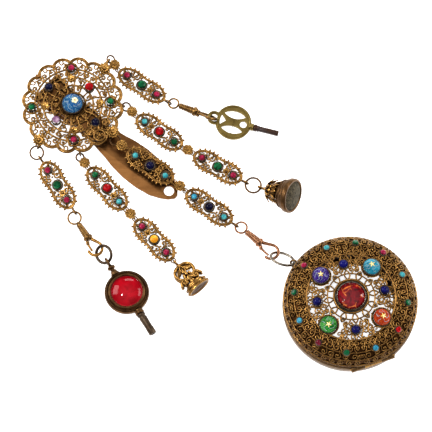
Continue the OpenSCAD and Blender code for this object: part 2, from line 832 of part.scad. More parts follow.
module jump_ring_b() {
    p = route_b[6];
    q = route_b[8];
    color("sienna")
        along(p, q, 1.4, 1.4)
            translate([jump_ring_r, 0, 0])
                wire_ring(jump_ring_r, jump_ring_wire);
}

// Flat key: the middle of its lobe, its heading, its downward slope and the lobe's mid height
key_a_at = step(clip_tip(0), hung_key_a);
key_a_head = -13.9;
key_a_slope = 2.6;
key_a_z = 2.5;
lobe_r = 3.15;
lobe_hole_r2 = 1.85;
bow_x = 8.95;

module key_a_frame() {
    translate([key_a_at[0], key_a_at[1], key_a_z])
        rotate([0, key_a_slope, key_a_head])
            translate([0, 0, -bow_t / 2])
                children();
}

module key_a_bow() {
    rim = 1.9;
    color("darkkhaki")
        key_a_frame()
            difference() {
                union() {
                    linear_extrude(bow_t)
                        difference() {
                            union() {
                                circle(r = lobe_r);
                                translate([bow_x, 0])
                                    circle(r = bow_r);
                            }
                            circle(r = lobe_hole_r2);
                            translate([bow_x, 0])
                                bow_gaps(rim);
                        }
                    translate([bow_x + bow_r - 0.8, 0, bow_t / 2])
                        bar_x(1.55, 2);
                }
                translate([bow_x + bow_r - 0.5, 0, bow_t / 2])
                    bar_x(key_socket_r, 4);
            }
}

key_socket_r = 1.05;

// Two lens gaps with a bar between them, and a gap towards each end
module bow_gaps(rim) {
    inner = bow_r - rim;
    intersection() {
        circle(r = inner);
        union() {
            for (side = [-1, 1])
                translate([0, side * 0.44 * bow_r])
                    lens(1.25 * bow_r, 0.46 * bow_r);
            translate([-inner, 0])
                rotate(45)
                    square(0.5 * bow_r, center = true);
            translate([inner * 0.74, 0])
                circle(r = 0.2 * bow_r);
        }
    }
}

// The square ended shank, with a pin that fits the bow's socket
module key_a_shank() {
    x0 = bow_x + bow_r + 1.2 + piece_gap;
    l = key_a_l - x0;
    color("dimgray")
        key_a_frame()
            translate([x0, 0, bow_t / 2])
                difference() {
                    union() {
                        translate([-1.4, 0, 0])
                            bar_x(key_socket_r - gem_gap, 2);
                        bar_x(1.55, 2.4);
                        translate([2, -1.1, -1.1])
                            cube([l - 2, 2.2, 2.2]);
                    }
                    translate([l - 4, -0.6, -0.6])
                        cube([5, 1.2, 1.2]);
                }
}

dark_ring_at = step(clip_tip(2), hung_dark_ring);
dark_ring_head = -53.5;
dark_ring_roll = 36;
dark_ring_z = 2.98;

module dark_ring_e() {
    color("darkslategray")
        translate([dark_ring_at[0], dark_ring_at[1], dark_ring_z])
            rotate([0, 0, dark_ring_head])
                rotate([dark_ring_roll, 0, 0])
                    wire_ring(dark_ring_r, dark_ring_wire);
}

// Stone key: the middle of its neck eye and its heading
key_e_at = step(dark_ring_at, [dark_ring_r + ring_to_key_e[0], ring_to_key_e[1]]);
key_e_head = -58;
frame_x = 16.4;
key_e_z = 2.4;
neck_eye_r = 1.75;
neck_wire = 0.55;

module key_e() {
    translate([key_e_at[0], key_e_at[1], key_e_z])
        rotate([0, 0, key_e_head])
            children();
}

module key_e_frame() {
    edge = 1.5;
    color("saddlebrown")
        key_e()
            difference() {
                union() {
                    rotate([90, 0, 0])
                        wire_ring(neck_eye_r, neck_wire);
                    translate([neck_eye_r, 0, 0])
                        bar_x(1.3, frame_x - frame_r - neck_eye_r + 1);
                    translate([neck_eye_r + 0.8, 0, 0])
                        bar_x(1.8, 1.2);
                    translate([frame_x, 0, 0])
                        rotate_extrude()
                            frame_section(edge);
                    translate([frame_x + frame_r - 1, 0, 0])
                        bar_x(2.1, 2.6);
                }
                translate([frame_x, 0, frame_t / 2 - 0.9])
                    cylinder(r = red_gem_r + gem_gap, h = 3);
                translate([frame_x + frame_r, 0, 0])
                    bar_x(key_socket_r, 4);
            }
}

module frame_section(edge) {
    square_r = frame_r - edge;
    translate([0, -frame_t / 2])
        square([square_r, frame_t]);
    translate([square_r, 0])
        intersection() {
            circle(r = frame_t / 2);
            translate([0, -frame_t / 2])
                square([edge, frame_t]);
        }
    translate([red_gem_r + gem_gap, frame_t / 2 - 0.1])
        square([0.8, 0.7]);
}

module key_e_stone() {
    color("red")
        key_e()
            translate([frame_x, 0, frame_t / 2 - 0.9 + gem_gap])
                intersection() {
                    cylinder(r = red_gem_r, h = 4);
                    translate([0, 0, 3.4 - red_dome_r])
                        sphere(r = red_dome_r);
                }
}
red_dome_r = 12;

module key_e_shank() {
    x0 = frame_x + frame_r + 1.6 + piece_gap;
    l = key_e_l - x0;
    color("dimgray")
        key_e()
            translate([x0, 0, 0])
                difference() {
                    union() {
                        translate([-1.4, 0, 0])
                            bar_x(key_socket_r - gem_gap, 2);
                        rotate([0, 90, 0])
                            cylinder(r1 = 1.9, r2 = 1.6, h = l - 3);
                        translate([l - 3, 0, 0])
                            bar_x(1.75, 3);
                    }
                    translate([l - 4, -0.7, -0.7])
                        cube([5, 1.4, 1.4]);
                }
}

// Lays children on their side: loop end at the height h, a rim of radius r at x = l on the surface
module laid(p, head, h, l, r) {
    tip = asin(-h / norm([l, r])) + atan2(r, l);
    translate([p[0], p[1], h])
        rotate([0, -tip, head])
            children();
}

// Shares of the round seal's length and radius: distance from the loop, radius
seal_sections = [
    [0.11, 0], [0.11, 0.09], [0.2, 0.09], [0.22, 0.24], [0.31, 0.4], [0.4, 0.36], [0.47, 0.24],
    [0.53, 0.3], [0.62, 0.5], [0.68, 0.66], [0.68, 0.8], [0.76, 0.82], [0.76, 0.9], [0.84, 0.92],
    [0.84, 1], [1, 1], [1, 0]
];
seal_glass_r = 6.6;
seal_glass_t = 1.2;
seal_loop_r = 1.2;
seal_heads = [-23, -49];

module on_seal_b() {
    laid(route_b[8], seal_heads[0], seal_loop_r + loop_wire + 0.05, 0.84 * seal_b_l, seal_b_r)
        children();
}

module seal_b_body() {
    color("darkgoldenrod")
        on_seal_b() {
            rotate([90, 0, 0])
                wire_ring(seal_loop_r, loop_wire);
            translate([seal_loop_r, 0, 0])
                bar_x(0.6, 1.4);
            difference() {
                rotate([0, 90, 0])
                    rotate_extrude()
                        polygon([for (s = seal_sections) [s[1] * seal_b_r, s[0] * seal_b_l]]);
                translate([seal_b_l - seal_glass_t, 0, 0])
                    bar_x(seal_glass_r + gem_gap, 3);
            }
        }
}

module seal_b_glass() {
    color("lightsteelblue")
        on_seal_b()
            translate([seal_b_l - seal_glass_t + gem_gap, 0, 0])
                bar_x(seal_glass_r, seal_glass_t - gem_gap);
}

// An ellipse drawn as a polygon, across the seal's axis
module oval(w, d) {
    polygon([for (i = [0:23]) [d / 2 * cos(15 * i), w / 2 * sin(15 * i)]]);
}

module seal_d_body() {
    base_l = 3.4;
    base_x = seal_d_l - base_l;
    thick = 3;
    color("gold")
        laid(route_d[7], seal_heads[1], link_d2_end + link_lift + link_t / 2, seal_d_l - 0.3 * base_l,
            seal_d_d / 2) {
            rotate([90, 0, 0])
                wire_ring(seal_loop_r, loop_wire);
            translate([seal_loop_r, 0, 0])
                bar_x(0.7, 1.6);
            translate([0, 0, -thick / 2])
                linear_extrude(thick)
                    difference() {
                        union() {
                            translate([0.42 * seal_d_l, 0])
                                circle(r = 0.36 * seal_d_w);
                            for (side = [-1, 1])
                                translate([0.62 * seal_d_l, side * 0.28 * seal_d_w])
                                    circle(r = 0.19 * seal_d_w);
                            translate([0.2 * seal_d_l, 0])
                                circle(r = 0.15 * seal_d_w);
                            translate([0.5 * seal_d_l, -0.25 * seal_d_w])
                                square([0.3 * seal_d_l, 0.5 * seal_d_w]);
                        }
                        translate([0.46 * seal_d_l, 0])
                            circle(r = 0.12 * seal_d_w);
                        for (side = [-1, 1])
                            translate([0.62 * seal_d_l, side * 0.29 * seal_d_w])
                                circle(r = 0.08 * seal_d_w);
                    }
            translate([base_x, 0, 0])
                rotate([0, 90, 0]) {
                    linear_extrude(base_l)
                        oval(0.82 * seal_d_w, 0.78 * seal_d_d);
                    translate([0, 0, 0.3 * base_l])
                        linear_extrude(0.25 * base_l)
                            oval(0.94 * seal_d_w, 0.92 * seal_d_d);
                    translate([0, 0, 0.7 * base_l])
                        linear_extrude(0.3 * base_l)
                            oval(seal_d_w, seal_d_d);
                }
        }
}

bow_ring_at = step(clip_tip(1), hung_bow_ring);
bow_ring_head = -20.7;
bow_ring_roll = -46.9;
bow_ring_z = bow_ring_r * sin(-bow_ring_roll) + bow_ring_wire + 0.02;
pendant_out = 1.6;
pendant_eye_r = 1.5;
pendant_at = step(bow_ring_at, [bow_ring_r + ring_to_pendant[0], ring_to_pendant[1]]);
case_at = step(pendant_at, [-case_r - pendant_out, pendant_angle]);

module bow_ring() {
    color("silver")
        translate([bow_ring_at[0], bow_ring_at[1], bow_ring_z])
            rotate([0, 0, bow_ring_head])
                rotate([bow_ring_roll, 0, 0])
                    wire_ring(bow_ring_r, bow_ring_wire);
}

module on_case(angle = 0, r = 0, z = 0) {
    translate([case_at[0], case_at[1], 0])
        rotate([0, 0, angle])
            translate([r, 0, z])
                children();
}

// Half section of the lower case: a wall with a round lower corner
corner_r = 5.5;
module back_section(inset) {
    r = case_r - inset;
    translate([0, inset])
        square([case_r - corner_r, case_h]);
    translate([0, corner_r])
        square([r, case_h]);
    translate([case_r - corner_r, corner_r])
        circle(r = corner_r - inset);
}

hinge_out = -1.3;
pin_r = 0.6;

// A bar along the hinge's line, from t0 to t1 of its length
module hinge_bar(r, t0, t1) {
    on_case(hinge_angle, case_r + hinge_out, seam_z)
        translate([0, t0, 0])
            rotate([-90, 0, 0])
                cylinder(r = r, h = t1 - t0);
}
mid_knuckle = 0.4 * hinge_l;

module pendant() {
    on_case(pendant_angle, case_r + pendant_out, bow_ring_z)
        rotate([-42, 0, 0])
            wire_ring(pendant_eye_r, 0.5);
}

module case_back() {
    color("tan")
        difference() {
            union() {
                on_case()
                    rotate_extrude()
                        difference() {
                            intersection() {
                                back_section(0);
                                square([case_r, case_h]);
                            }
                            intersection() {
                                back_section(case_wall);
                                translate([0, case_wall])
                                    square([case_r, case_h]);
                            }
                            square([bottom_r, case_h]);
                        }
                for (s = [-1, 1])
                    hinge_bar(knuckle_r, s > 0 ? mid_knuckle / 2 + 0.1 : -hinge_l / 2,
                        s > 0 ? hinge_l / 2 : -mid_knuckle / 2 - 0.1);
                pendant();
            }
            hinge_bar(knuckle_r + piece_gap, -mid_knuckle / 2 - 0.1, mid_knuckle / 2 + 0.1);
            hinge_bar(pin_r + pin_play, -hinge_l, hinge_l);
        }
}

module case_hinge_pin() {
    color("gold")
        hinge_bar(pin_r, -hinge_l / 2 - 0.3, hinge_l / 2 + 0.3);
}

// Half section of the lid: band, round shoulder and low crown
module lid_section(inset) {
    intersection() {
        union() {
            square([lid_r - shoulder_r, lid_top + lid_rise + 1]);
            square([lid_r - inset, lid_top - shoulder_r]);
            translate([lid_r - shoulder_r, lid_top - shoulder_r])
                circle(r = shoulder_r - inset);
        }
        translate([0, lid_top + lid_rise - dome_r])
            circle(r = dome_r - inset);
    }
}

flower_gem_share = 0.55;
dark_gem_share = 0.51;
flower_gem_angles = [144, 55.5, -35.5, -128.5];
dark_gem_angles = [11, 102, 189, 277];
shoulder_gem_out = 3.3;
shoulder_gems = [["crimson", "cut"], ["mediumturquoise", "cab"], ["seagreen", "cut"]];
shoulder_phase = 24.6;

// Height of the lid's outer surface at a distance r from its middle
function lid_z(r) = r < lid_r - shoulder_r
    ? lid_top + lid_rise - dome_r + sqrt(dome_r * dome_r - r * r)
    : lid_top - shoulder_r + sqrt(pow(shoulder_r, 2) - pow(r - lid_r + shoulder_r, 2));

function lid_tilt(r) = r < lid_r - shoulder_r ? asin(r / dome_r) : asin((r - lid_r + shoulder_r) / shoulder_r);

// Puts children on the lid's surface, square to it
module on_lid(angle, r, sink = 0) {
    on_case(angle, r, lid_z(r))
        rotate([0, lid_tilt(r), 0])
            translate([0, 0, -sink])
                children();
}

// The gaps in the middle of the lid
module lid_gaps() {
    for (i = [0:11])
        rotate(i * 30 + 15)
            translate([0.33 * lid_r, 0])
                rotate(180)
                    teardrop(1.5, 2.6);
    for (i = [0:7])
        rotate(i * 45 + 31)
            translate([0.5 * lid_r, 0])
                teardrop(1.9, 4);
    for (i = [0:11])
        rotate(i * 30 + 8)
            translate([0.66 * lid_r, 0])
                teardrop(1.35, 2.4);
}

module case_lid() {
    sink = 0.8;
    color("darkgoldenrod")
        difference() {
            union() {
                difference() {
                    on_case()
                        rotate_extrude()
                            difference() {
                                lid_section(0);
                                lid_section(case_wall);
                                square([lid_r, seam_z + piece_gap]);
                            }
                    on_case()
                        translate([0, 0, seam_z + 1])
                            linear_extrude(20)
                                lid_gaps();
                }
                on_lid(0, 0, 1)
                    setting(lid_gem_r, 2, 1.3);
                for (a = flower_gem_angles)
                    on_lid(a, flower_gem_share * lid_r, 1)
                        setting(flower_gem_r, 1.8, 1.2);
                for (a = dark_gem_angles)
                    on_lid(a, dark_gem_share * lid_r, 1)
                        setting(dark_gem_r, 1.6, 1.2);
                for (i = [0:11])
                    on_lid(shoulder_phase + 30 * i, lid_r - shoulder_r + shoulder_gem_out, 1)
                        setting(shoulder_gem_r, 1.6, 1.2);
                hinge_bar(knuckle_r, -mid_knuckle / 2, mid_knuckle / 2);
            }
            for (s = [-1, 1])
                hinge_bar(knuckle_r + piece_gap, s > 0 ? mid_knuckle / 2 : -hinge_l / 2 - 0.2,
                    s > 0 ? hinge_l / 2 + 0.2 : -mid_knuckle / 2);
            hinge_bar(pin_r + pin_play, -hinge_l, hinge_l);
        }
}

module lid_centre_stone() {
    color("crimson")
        on_lid(0, 0, -0.3 - gem_gap)
            cut_stone(lid_gem_r * 0.995, 16, 0.38);
}

module lid_flower_stones() {
    shades = ["rebeccapurple", "deepskyblue", "orangered", "limegreen"];
    for (i = [0:3])
        color(shades[i])
            on_lid(flower_gem_angles[i], flower_gem_share * lid_r, -0.2 - gem_gap)
                cab_stone(flower_gem_r);
}

module lid_dark_stones() {
    for (a = dark_gem_angles)
        color("midnightblue")
            on_lid(a, dark_gem_share * lid_r, -0.2 - gem_gap)
                cab_stone(dark_gem_r);
}

module lid_shoulder_stones() {
    for (i = [0:11])
        color(shoulder_gems[(13 - i) % 3][0])
            on_lid(shoulder_phase + 30 * i, lid_r - shoulder_r + shoulder_gem_out, -0.2 - gem_gap)
                gem(shoulder_gem_r, shoulder_gems[(13 - i) % 3][1]);
}

brooch_plate();
brooch_centre_stone();
brooch_stones();
belt_hook();
for (r = rings)
    attachment_ring(r);
for (c = connectors)
    color("goldenrod")
            along(c[2], c[3], c[4], c[5])
                connector(connector_spans[c[1]]);
for (l = links) {
    color("darkgoldenrod")
            along(l[1], l[2], l[3], l[4], l[5], link_lift + link_t / 2)
                link(l);
    along(l[1], l[2], l[3], l[4], l[5], link_lift + link_t / 2)
            link_stones(l);
}
for (i = [0:len(clips) - 1]) {
    clip_bail(i);
    clip_hook(i);
    clip_gate(i);
}
jump_ring_b();
key_a_bow();
key_a_shank();
dark_ring_e();
key_e_frame();
key_e_stone();
key_e_shank();
seal_b_body();
seal_b_glass();
seal_d_body();
bow_ring();
case_back();
case_hinge_pin();
case_lid();
lid_centre_stone();
lid_flower_stones();
lid_dark_stones();
lid_shoulder_stones();
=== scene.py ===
import math
import random

import bpy
import bmesh
import numpy as np
from mathutils import Matrix


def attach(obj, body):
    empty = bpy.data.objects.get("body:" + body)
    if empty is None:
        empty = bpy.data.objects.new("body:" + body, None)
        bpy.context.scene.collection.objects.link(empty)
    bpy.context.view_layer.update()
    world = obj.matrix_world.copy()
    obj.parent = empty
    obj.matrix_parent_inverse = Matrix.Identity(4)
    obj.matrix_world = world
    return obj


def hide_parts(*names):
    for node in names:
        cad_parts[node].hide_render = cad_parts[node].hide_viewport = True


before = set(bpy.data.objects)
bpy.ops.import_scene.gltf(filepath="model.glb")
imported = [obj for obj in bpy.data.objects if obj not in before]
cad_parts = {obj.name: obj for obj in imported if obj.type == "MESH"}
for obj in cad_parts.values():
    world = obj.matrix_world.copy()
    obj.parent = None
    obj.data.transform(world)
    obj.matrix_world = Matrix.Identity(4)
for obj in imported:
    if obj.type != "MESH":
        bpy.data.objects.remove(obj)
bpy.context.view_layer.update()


rng = random.Random(315)


# Transforms, in millimetres and degrees


def shift(x=0.0, y=0.0, z=0.0):
    m = np.eye(4)
    m[:3, 3] = (x, y, z)
    return m


def turn(axis, a):
    a = math.radians(a)
    c, s = math.cos(a), math.sin(a)
    m = np.eye(4)
    i, j = {"x": (1, 2), "y": (2, 0), "z": (0, 1)}[axis]
    m[i, i] = m[j, j] = c
    m[i, j], m[j, i] = -s, s
    return m


def grow(sx, sy, sz):
    return np.diag([sx, sy, sz, 1.0])


def move(points, m):
    return np.asarray(points, float).reshape(-1, 3) @ m[:3, :3].T + m[:3, 3]


def polar(a, r, z=0.0):
    a = math.radians(a)
    return np.array([r * math.cos(a), r * math.sin(a), z])


def around(a, r, z=0.0):
    return shift(*polar(a, r, z))


def unit(v):
    v = np.asarray(v, float)
    return v / (np.linalg.norm(v, axis=-1, keepdims=True) + 1e-12)


def axes_at(x, y, z, origin):
    m = np.eye(4)
    m[:3, 0], m[:3, 1], m[:3, 2], m[:3, 3] = x, y, z, origin
    return m


def frame_on(p, n, spin=0.0):
    """A frame at p whose Z axis is n."""
    z = unit(n)
    x = unit(np.cross([0.0, 1.0, 0.0], z))
    return axes_at(x, np.cross(z, x), z, p) @ turn("z", spin)


ALONG_X = turn("y", 90)
UPRIGHT = turn("x", 90)


# Mesh building


class Net:
    """Vertices and faces of one piece, gathered from many small shapes."""

    def __init__(self):
        self.points = []
        self.loops = []
        self.sizes = []
        self.smooth = []
        self.slots = []
        self.count = 0

    def add(self, shape, m, slot=0):
        points, groups, smooth = shape
        points = move(points, m)
        self.points.append(points)
        for g in groups:
            self.loops.append((g + self.count).ravel())
            self.sizes.append(np.full(len(g), g.shape[1], int))
            self.smooth.append(np.full(len(g), smooth, bool))
            self.slots.append(np.full(len(g), slot, int))
        self.count += len(points)

    def dot(self, r, m, at, slot=0, nu=9, nv=6):
        """A small ball at a place in the frame m."""
        self.add(ball(r, nu, nv), m @ shift(*at), slot)


def show(name, mesh):
    piece = bpy.data.objects.new(name, mesh)
    bpy.context.scene.collection.objects.link(piece)
    return piece


def make(name, net, materials, nodes=(), body="chatelaine"):
    mesh = bpy.data.meshes.new(name)
    points = np.concatenate(net.points) * 0.001
    loops = np.concatenate(net.loops)
    sizes = np.concatenate(net.sizes)
    mesh.vertices.add(len(points))
    mesh.vertices.foreach_set("co", points.ravel())
    mesh.loops.add(len(loops))
    mesh.loops.foreach_set("vertex_index", loops)
    mesh.polygons.add(len(sizes))
    for key, values in (("loop_start", np.concatenate([[0], np.cumsum(sizes)[:-1]])), ("loop_total", sizes),
                        ("use_smooth", np.concatenate(net.smooth)),
                        ("material_index", np.concatenate(net.slots))):
        mesh.polygons.foreach_set(key, values)
    mesh.update()
    mesh.validate()
    for material in materials:
        mesh.materials.append(material)
    piece = show(name, mesh)
    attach(piece, body)
    if nodes:
        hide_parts(*nodes)


def strip(rows, k, closed=False):
    """Quads between rows of k points each."""
    i = np.arange(rows if closed else rows - 1)[:, None]
    j = np.arange(k)[None, :]
    near, far = i * k, (i + 1) % rows * k
    return np.stack([near + j, near + (j + 1) % k, far + (j + 1) % k, far + j], -1).reshape(-1, 4)


CAP_SIZES, CAP_REACH = np.array([0.2, 0.8]), np.array([[0.8], [0.45]])


def tube(path, r, k, closed=False, up=None, tall=1.0):
    """A wire along a path. r is one radius or one for each point; tall scales it along up."""
    path = np.asarray(path, float)
    r = np.full(len(path), float(r)) if np.isscalar(r) else np.asarray(r, float)
    if not closed:
        head, tail = unit(path[0] - path[1]) * r[0], unit(path[-1] - path[-2]) * r[-1]
        path = np.concatenate([path[0] + head * CAP_REACH, path, path[-1] + tail * CAP_REACH[::-1]])
        r = np.concatenate([r[0] * CAP_SIZES, r, r[-1] * CAP_SIZES[::-1]])
    n = len(path)
    t = unit(np.roll(path, -1, 0) - np.roll(path, 1, 0) if closed else np.gradient(path, axis=0))
    if up is None:
        u = np.zeros((n, 3))
        guess = np.array([0.0, 0.0, 1.0]) if abs(t[0][2]) < 0.9 else np.array([1.0, 0.0, 0.0])
        for i in range(n):
            guess = u[i] = unit(guess - t[i] * (guess @ t[i]))
    else:
        up = np.asarray(up, float)
        if up.ndim == 2 and len(up) != n:
            up = np.concatenate([up[:1], up[:1], up, up[-1:], up[-1:]])
        u = np.broadcast_to(up, (n, 3))
        u = unit(u - t * np.sum(u * t, 1)[:, None])
    a = (np.arange(k) * 2 * math.pi / k)[None, :, None]
    ring = np.cross(u, t)[:, None, :] * np.cos(a) + u[:, None, :] * (tall * np.sin(a))
    faces = [strip(n, k, closed)[:, ::-1]]
    if not closed:
        faces += [np.arange(k)[None, :], (np.arange(k)[::-1] + (n - 1) * k)[None, :]]
    return (path[:, None, :] + ring * r[:, None, None]).reshape(-1, 3), faces, True


def flat_tube(path, r, k, tall=1.0):
    return tube(path, r, k, up=(0, 0, 1), tall=tall)


def ring_path(r, n, z=0.0):
    a = np.radians(360.0 * np.arange(n) / n)
    return np.stack([r * np.cos(a), r * np.sin(a), np.full(n, z)], 1)


def closed_path(path):
    return np.concatenate([path, path[:1]])


def torus(r, wire_r, n, k, tall=1.0):
    return tube(ring_path(r, n), wire_r, k, closed=True, up=(0, 0, 1), tall=tall)


def lathe(profile, n, smooth=True):
    """Turns a list of (radius, height) about Z. A radius of 0 closes the shape."""
    points, quads, tris, rows = [], [], [], []
    j = np.arange(n)
    after = (j + 1) % n
    for r, z in profile:
        rows.append((sum(map(len, points)), r > 1e-6))
        points.append(ring_path(r, n, z) if r > 1e-6 else np.array([[0, 0, z]]))
    for (p, wide_p), (q, wide_q) in zip(rows[:-1], rows[1:]):
        if wide_p and wide_q:
            quads.append(np.stack([p + j, p + after, q + after, q + j], 1))
        elif wide_q:
            tris.append(np.stack([np.full(n, p), q + after, q + j], 1))
        elif wide_p:
            tris.append(np.stack([p + j, p + after, np.full(n, q)], 1))
    return np.concatenate(points), [np.concatenate(f) for f in (quads, tris) if f], smooth


def ball(r, nu=9, nv=6):
    return lathe([(r * math.sin(math.pi * i / nv) if 0 < i < nv else 0.0, -r * math.cos(math.pi * i / nv))
                  for i in range(nv + 1)], nu)


def lengths(path):
    """How far along a path each of its points lies."""
    return np.concatenate([[0], np.cumsum(np.linalg.norm(np.diff(path, axis=0), axis=1))])


def points_at(path, d, at):
    return np.stack([np.interp(at, d, path[:, i]) for i in range(3)], 1)


def beads(net, path, r, step, m, slot=0):
    """A row of small balls along a path, about one for each step of its length."""
    path = np.asarray(path, float)
    d = lengths(path)
    count = max(int(round(d[-1] / step)), 1)
    spots = points_at(path, d, np.linspace(0, d[-1], count, endpoint=False) + d[-1] / count / 2)
    points, faces, smooth = ball(r, 7, 4)
    first = (np.arange(count) * len(points))[:, None, None]
    groups = [(f + first).reshape(-1, f.shape[1]) for f in faces]
    net.add((spots[:, None, :] + points, groups, smooth), m, slot)


def bead_ring(net, r, n, z, size, step, m, slot=0):
    beads(net, closed_path(ring_path(r, n, z)), size, step, m, slot)


def twist(net, path, r, pitch, m, slot=0):
    """Two strands twisted about a ring."""
    path = closed_path(path)
    d = lengths(path)
    turns = max(int(round(d[-1] / pitch)), 1)
    at = np.linspace(0, d[-1], turns * 9, endpoint=False)
    spine = points_at(path, d, at)
    t = unit(np.roll(spine, -1, 0) - np.roll(spine, 1, 0))
    s = unit(np.cross((0.0, 0.0, 1.0), t))
    u = np.cross(t, s)
    for phase in (0, math.pi):
        a = (2 * math.pi * turns * at / d[-1] + phase)[:, None]
        net.add(tube(spine + 0.5 * r * (s * np.cos(a) + u * np.sin(a)), r * 0.56, 5, closed=True), m, slot)


def spiral(r, turns, hand, start, tail, n=None):
    """A flat scroll in the XY plane about the origin: from its tail in to its middle."""
    n = n or int(16 * turns) + 4
    s = np.linspace(0, 1, n)
    a = np.radians(start) + hand * 2 * math.pi * turns * s
    q = r * (1 - 0.8 * s ** 0.9)
    path = np.stack([q * np.cos(a), q * np.sin(a), np.zeros(n)], 1)
    t, out = unit(path[0] - path[1]), path[0] / r
    lead = [path[0] + t * tail * v + out * tail * 0.35 * v * v for v in (1.0, 0.66, 0.33)]
    return np.concatenate([lead, path])


def bezier(p, a, b, q, n=12):
    t = np.linspace(0, 1, n)[:, None]
    p, a, b, q = (np.asarray(v, float) for v in (p, a, b, q))
    return (1 - t) ** 3 * p + 3 * (1 - t) ** 2 * t * a + 3 * (1 - t) * t * t * b + t ** 3 * q


def circles(rings):
    """Points on level circles, from rows of radius, height, count and turn in steps."""
    return [(r * math.cos(a), r * math.sin(a), z) for r, z, count, phase in rings
            for a in (2 * math.pi * (i + phase) / count for i in range(count))]


def cut_gem(r, tall=1.0):
    """A faceted stone: table, star, kite and girdle facets above, a pavilion below."""
    n, m, h = 6, 12, r * tall
    points = circles([(0.55 * r, 1.22 * h, n, 0.5), (0.84 * r, 1.02 * h, n, 0.0), (r, 0.8 * h, m, 0.0),
                      (r, 0.72 * h, m, 0.0), (0.3 * r, 0.04 * h, n, 0.0)])
    table, star, upper, lower, foot = 0, n, m, 2 * m, 3 * m
    tris = []
    for i in range(n):
        j, left, mid, right = (i + 1) % n, 2 * i, 2 * i + 1, (2 * i + 2) % m
        tris += [(table + i, star + i, star + j), (star + i, upper + left, upper + mid),
                 (star + j, upper + mid, upper + right), (star + i, upper + mid, star + j),
                 (lower + left, foot + i, lower + mid), (lower + mid, foot + j, lower + right),
                 (foot + i, foot + j, lower + mid)]
    tris += [(table + (i - 1) % n, star + i, table + i) for i in range(n)]
    band = [(upper + i, lower + i, lower + (i + 1) % m, upper + (i + 1) % m) for i in range(m)]
    top, low = np.arange(n)[None, :], (foot + np.arange(n)[::-1])[None, :]
    return points, [np.array(tris), np.array(band), top, low], False


def dome_radius(r, rise):
    """The radius of the ball whose cap is r wide and as high as rise."""
    return (r * r + rise * rise) / (2 * rise)


def cab_gem(r, rise=0.62, side=0.35, n=28):
    ball_r = dome_radius(r, rise * r)
    profile = [(0.0, 0.0), (r * 0.96, 0.0), (r, r * 0.06)]
    top = side * r + rise * r
    for i in range(9):
        a = math.asin(r / ball_r) * (1 - i / 8)
        profile.append((ball_r * math.sin(a) if i < 8 else 0.0, top - ball_r + ball_r * math.cos(a)))
    return lathe(profile, n)


def faceted_dome(r, n):
    """A low rose of facets: three rings that step up to a small table."""
    points = circles([(r, 0.0, n, 0), (r, 0.55, n, 0), (0.86 * r, 1.35, n, 0.5), (0.6 * r, 1.95, n, 0),
                      (0.34 * r, 2.2, n, 0.5)])
    tris = []
    for i in range(n):
        j = (i + 1) % n
        for k in (1, 2, 3):
            p, q = k * n, (k + 1) * n
            if k == 2:
                tris += [(p + i, p + j, q + j), (p + i, q + j, q + i)]
            else:
                tris += [(p + i, p + j, q + i), (q + i, p + j, q + j)]
    top, low = (4 * n + np.arange(n))[None, :], np.arange(n)[None, ::-1]
    return points, [np.array(tris), strip(2, n), top, low], False


def petal(l, w, t, cup=0.0):
    """A leaf shaped petal along +X from the origin, hollowed along its middle."""
    nu, nv = 9, 8
    points = []
    for i in range(nu):
        u = i / (nu - 1)
        half = w / 2 * math.sin(math.pi * min(max(u, 0.03), 0.985) ** 0.8) ** 0.75
        thick = math.sin(math.pi * min(max(u, 0.06), 0.96)) ** 0.5
        for j in range(nv):
            a = 2 * math.pi * j / nv
            y = half * math.cos(a)
            z = t * math.sin(a) * (0.6 + 0.4 * abs(math.cos(a))) * thick
            groove = 0.45 * t * (1 - abs(y) / max(half, 1e-6)) if math.sin(a) > 0.5 else 0
            points.append((l * u, y, z + cup * u * u - groove))
    return points, [strip(nu, nv), np.arange(nv)[None, ::-1], (np.arange(nv) + (nu - 1) * nv)[None, :]], True


# Rosettes larger than this have a rib on each petal
RIBBED_R = 2.4


def rosette(net, m, r, n, z, cup, layers, slot, ball_r):
    """A flower of wire edged petals with a ball in a ring of granules."""
    for layer in range(layers):
        q = r * (1 - 0.34 * layer)
        w = 2.0 * q * math.sin(math.pi / n) * 0.98
        for i in range(n):
            leaf = m @ turn("z", (i + 0.5 * layer) * 360 / n) @ shift(q * 0.2, 0, z + 0.3 * r * layer * 0.4)
            net.add(petal(q * 0.8, w, 0.16 * q * 0.55 + 0.08, cup), leaf, slot)
            if r > RIBBED_R:
                rib = bezier((0.1 * q, 0, 0.12), (0.35 * q, 0, 0.22), (0.55 * q, 0, 0.2 + 0.4 * cup),
                             (0.76 * q, 0, 0.1 + cup), 5)
                net.add(tube(rib, 0.09, 5), leaf, slot)
    net.dot(ball_r, m, (0, 0, z + 0.25 + 0.1 * layers), slot, 12, 7)
    bead_ring(net, ball_r * 1.55, 16, z + 0.3, ball_r * 0.36, ball_r * 0.8, m, slot)


def collet(net, m, r, h, teeth, tooth, wall, lean, slot):
    """A stone setting: a wall with a toothed or clawed edge that leans in over the stone."""
    n = max(teeth * 6, 32)
    a = np.arange(n) * 2 * math.pi / n
    saw = 0.5 + 0.5 * np.cos(a * teeth) if teeth else np.clip((np.cos(a * 4) - 0.25) / 0.5, 0, 1)
    rows = []
    for q, z, up in ((r + wall, 0.0, 0), (r + wall, h * 0.55, 0), (r + wall * 1.12, h * 0.62, 0),
                     (r + wall, h * 0.7, 0), (r + wall * 0.8, h, 0), (r + wall * 0.5, h, 1),
                     (r + wall * 0.1, h, 0.85), (r + 0.02, h, 0), (r + 0.02, 0.0, 0)):
        q = q - lean * saw * up
        rows.append(np.stack([q * np.cos(a), q * np.sin(a), z + tooth * saw * up], 1))
    net.add((np.concatenate(rows), [strip(len(rows), n)], True), m, slot)


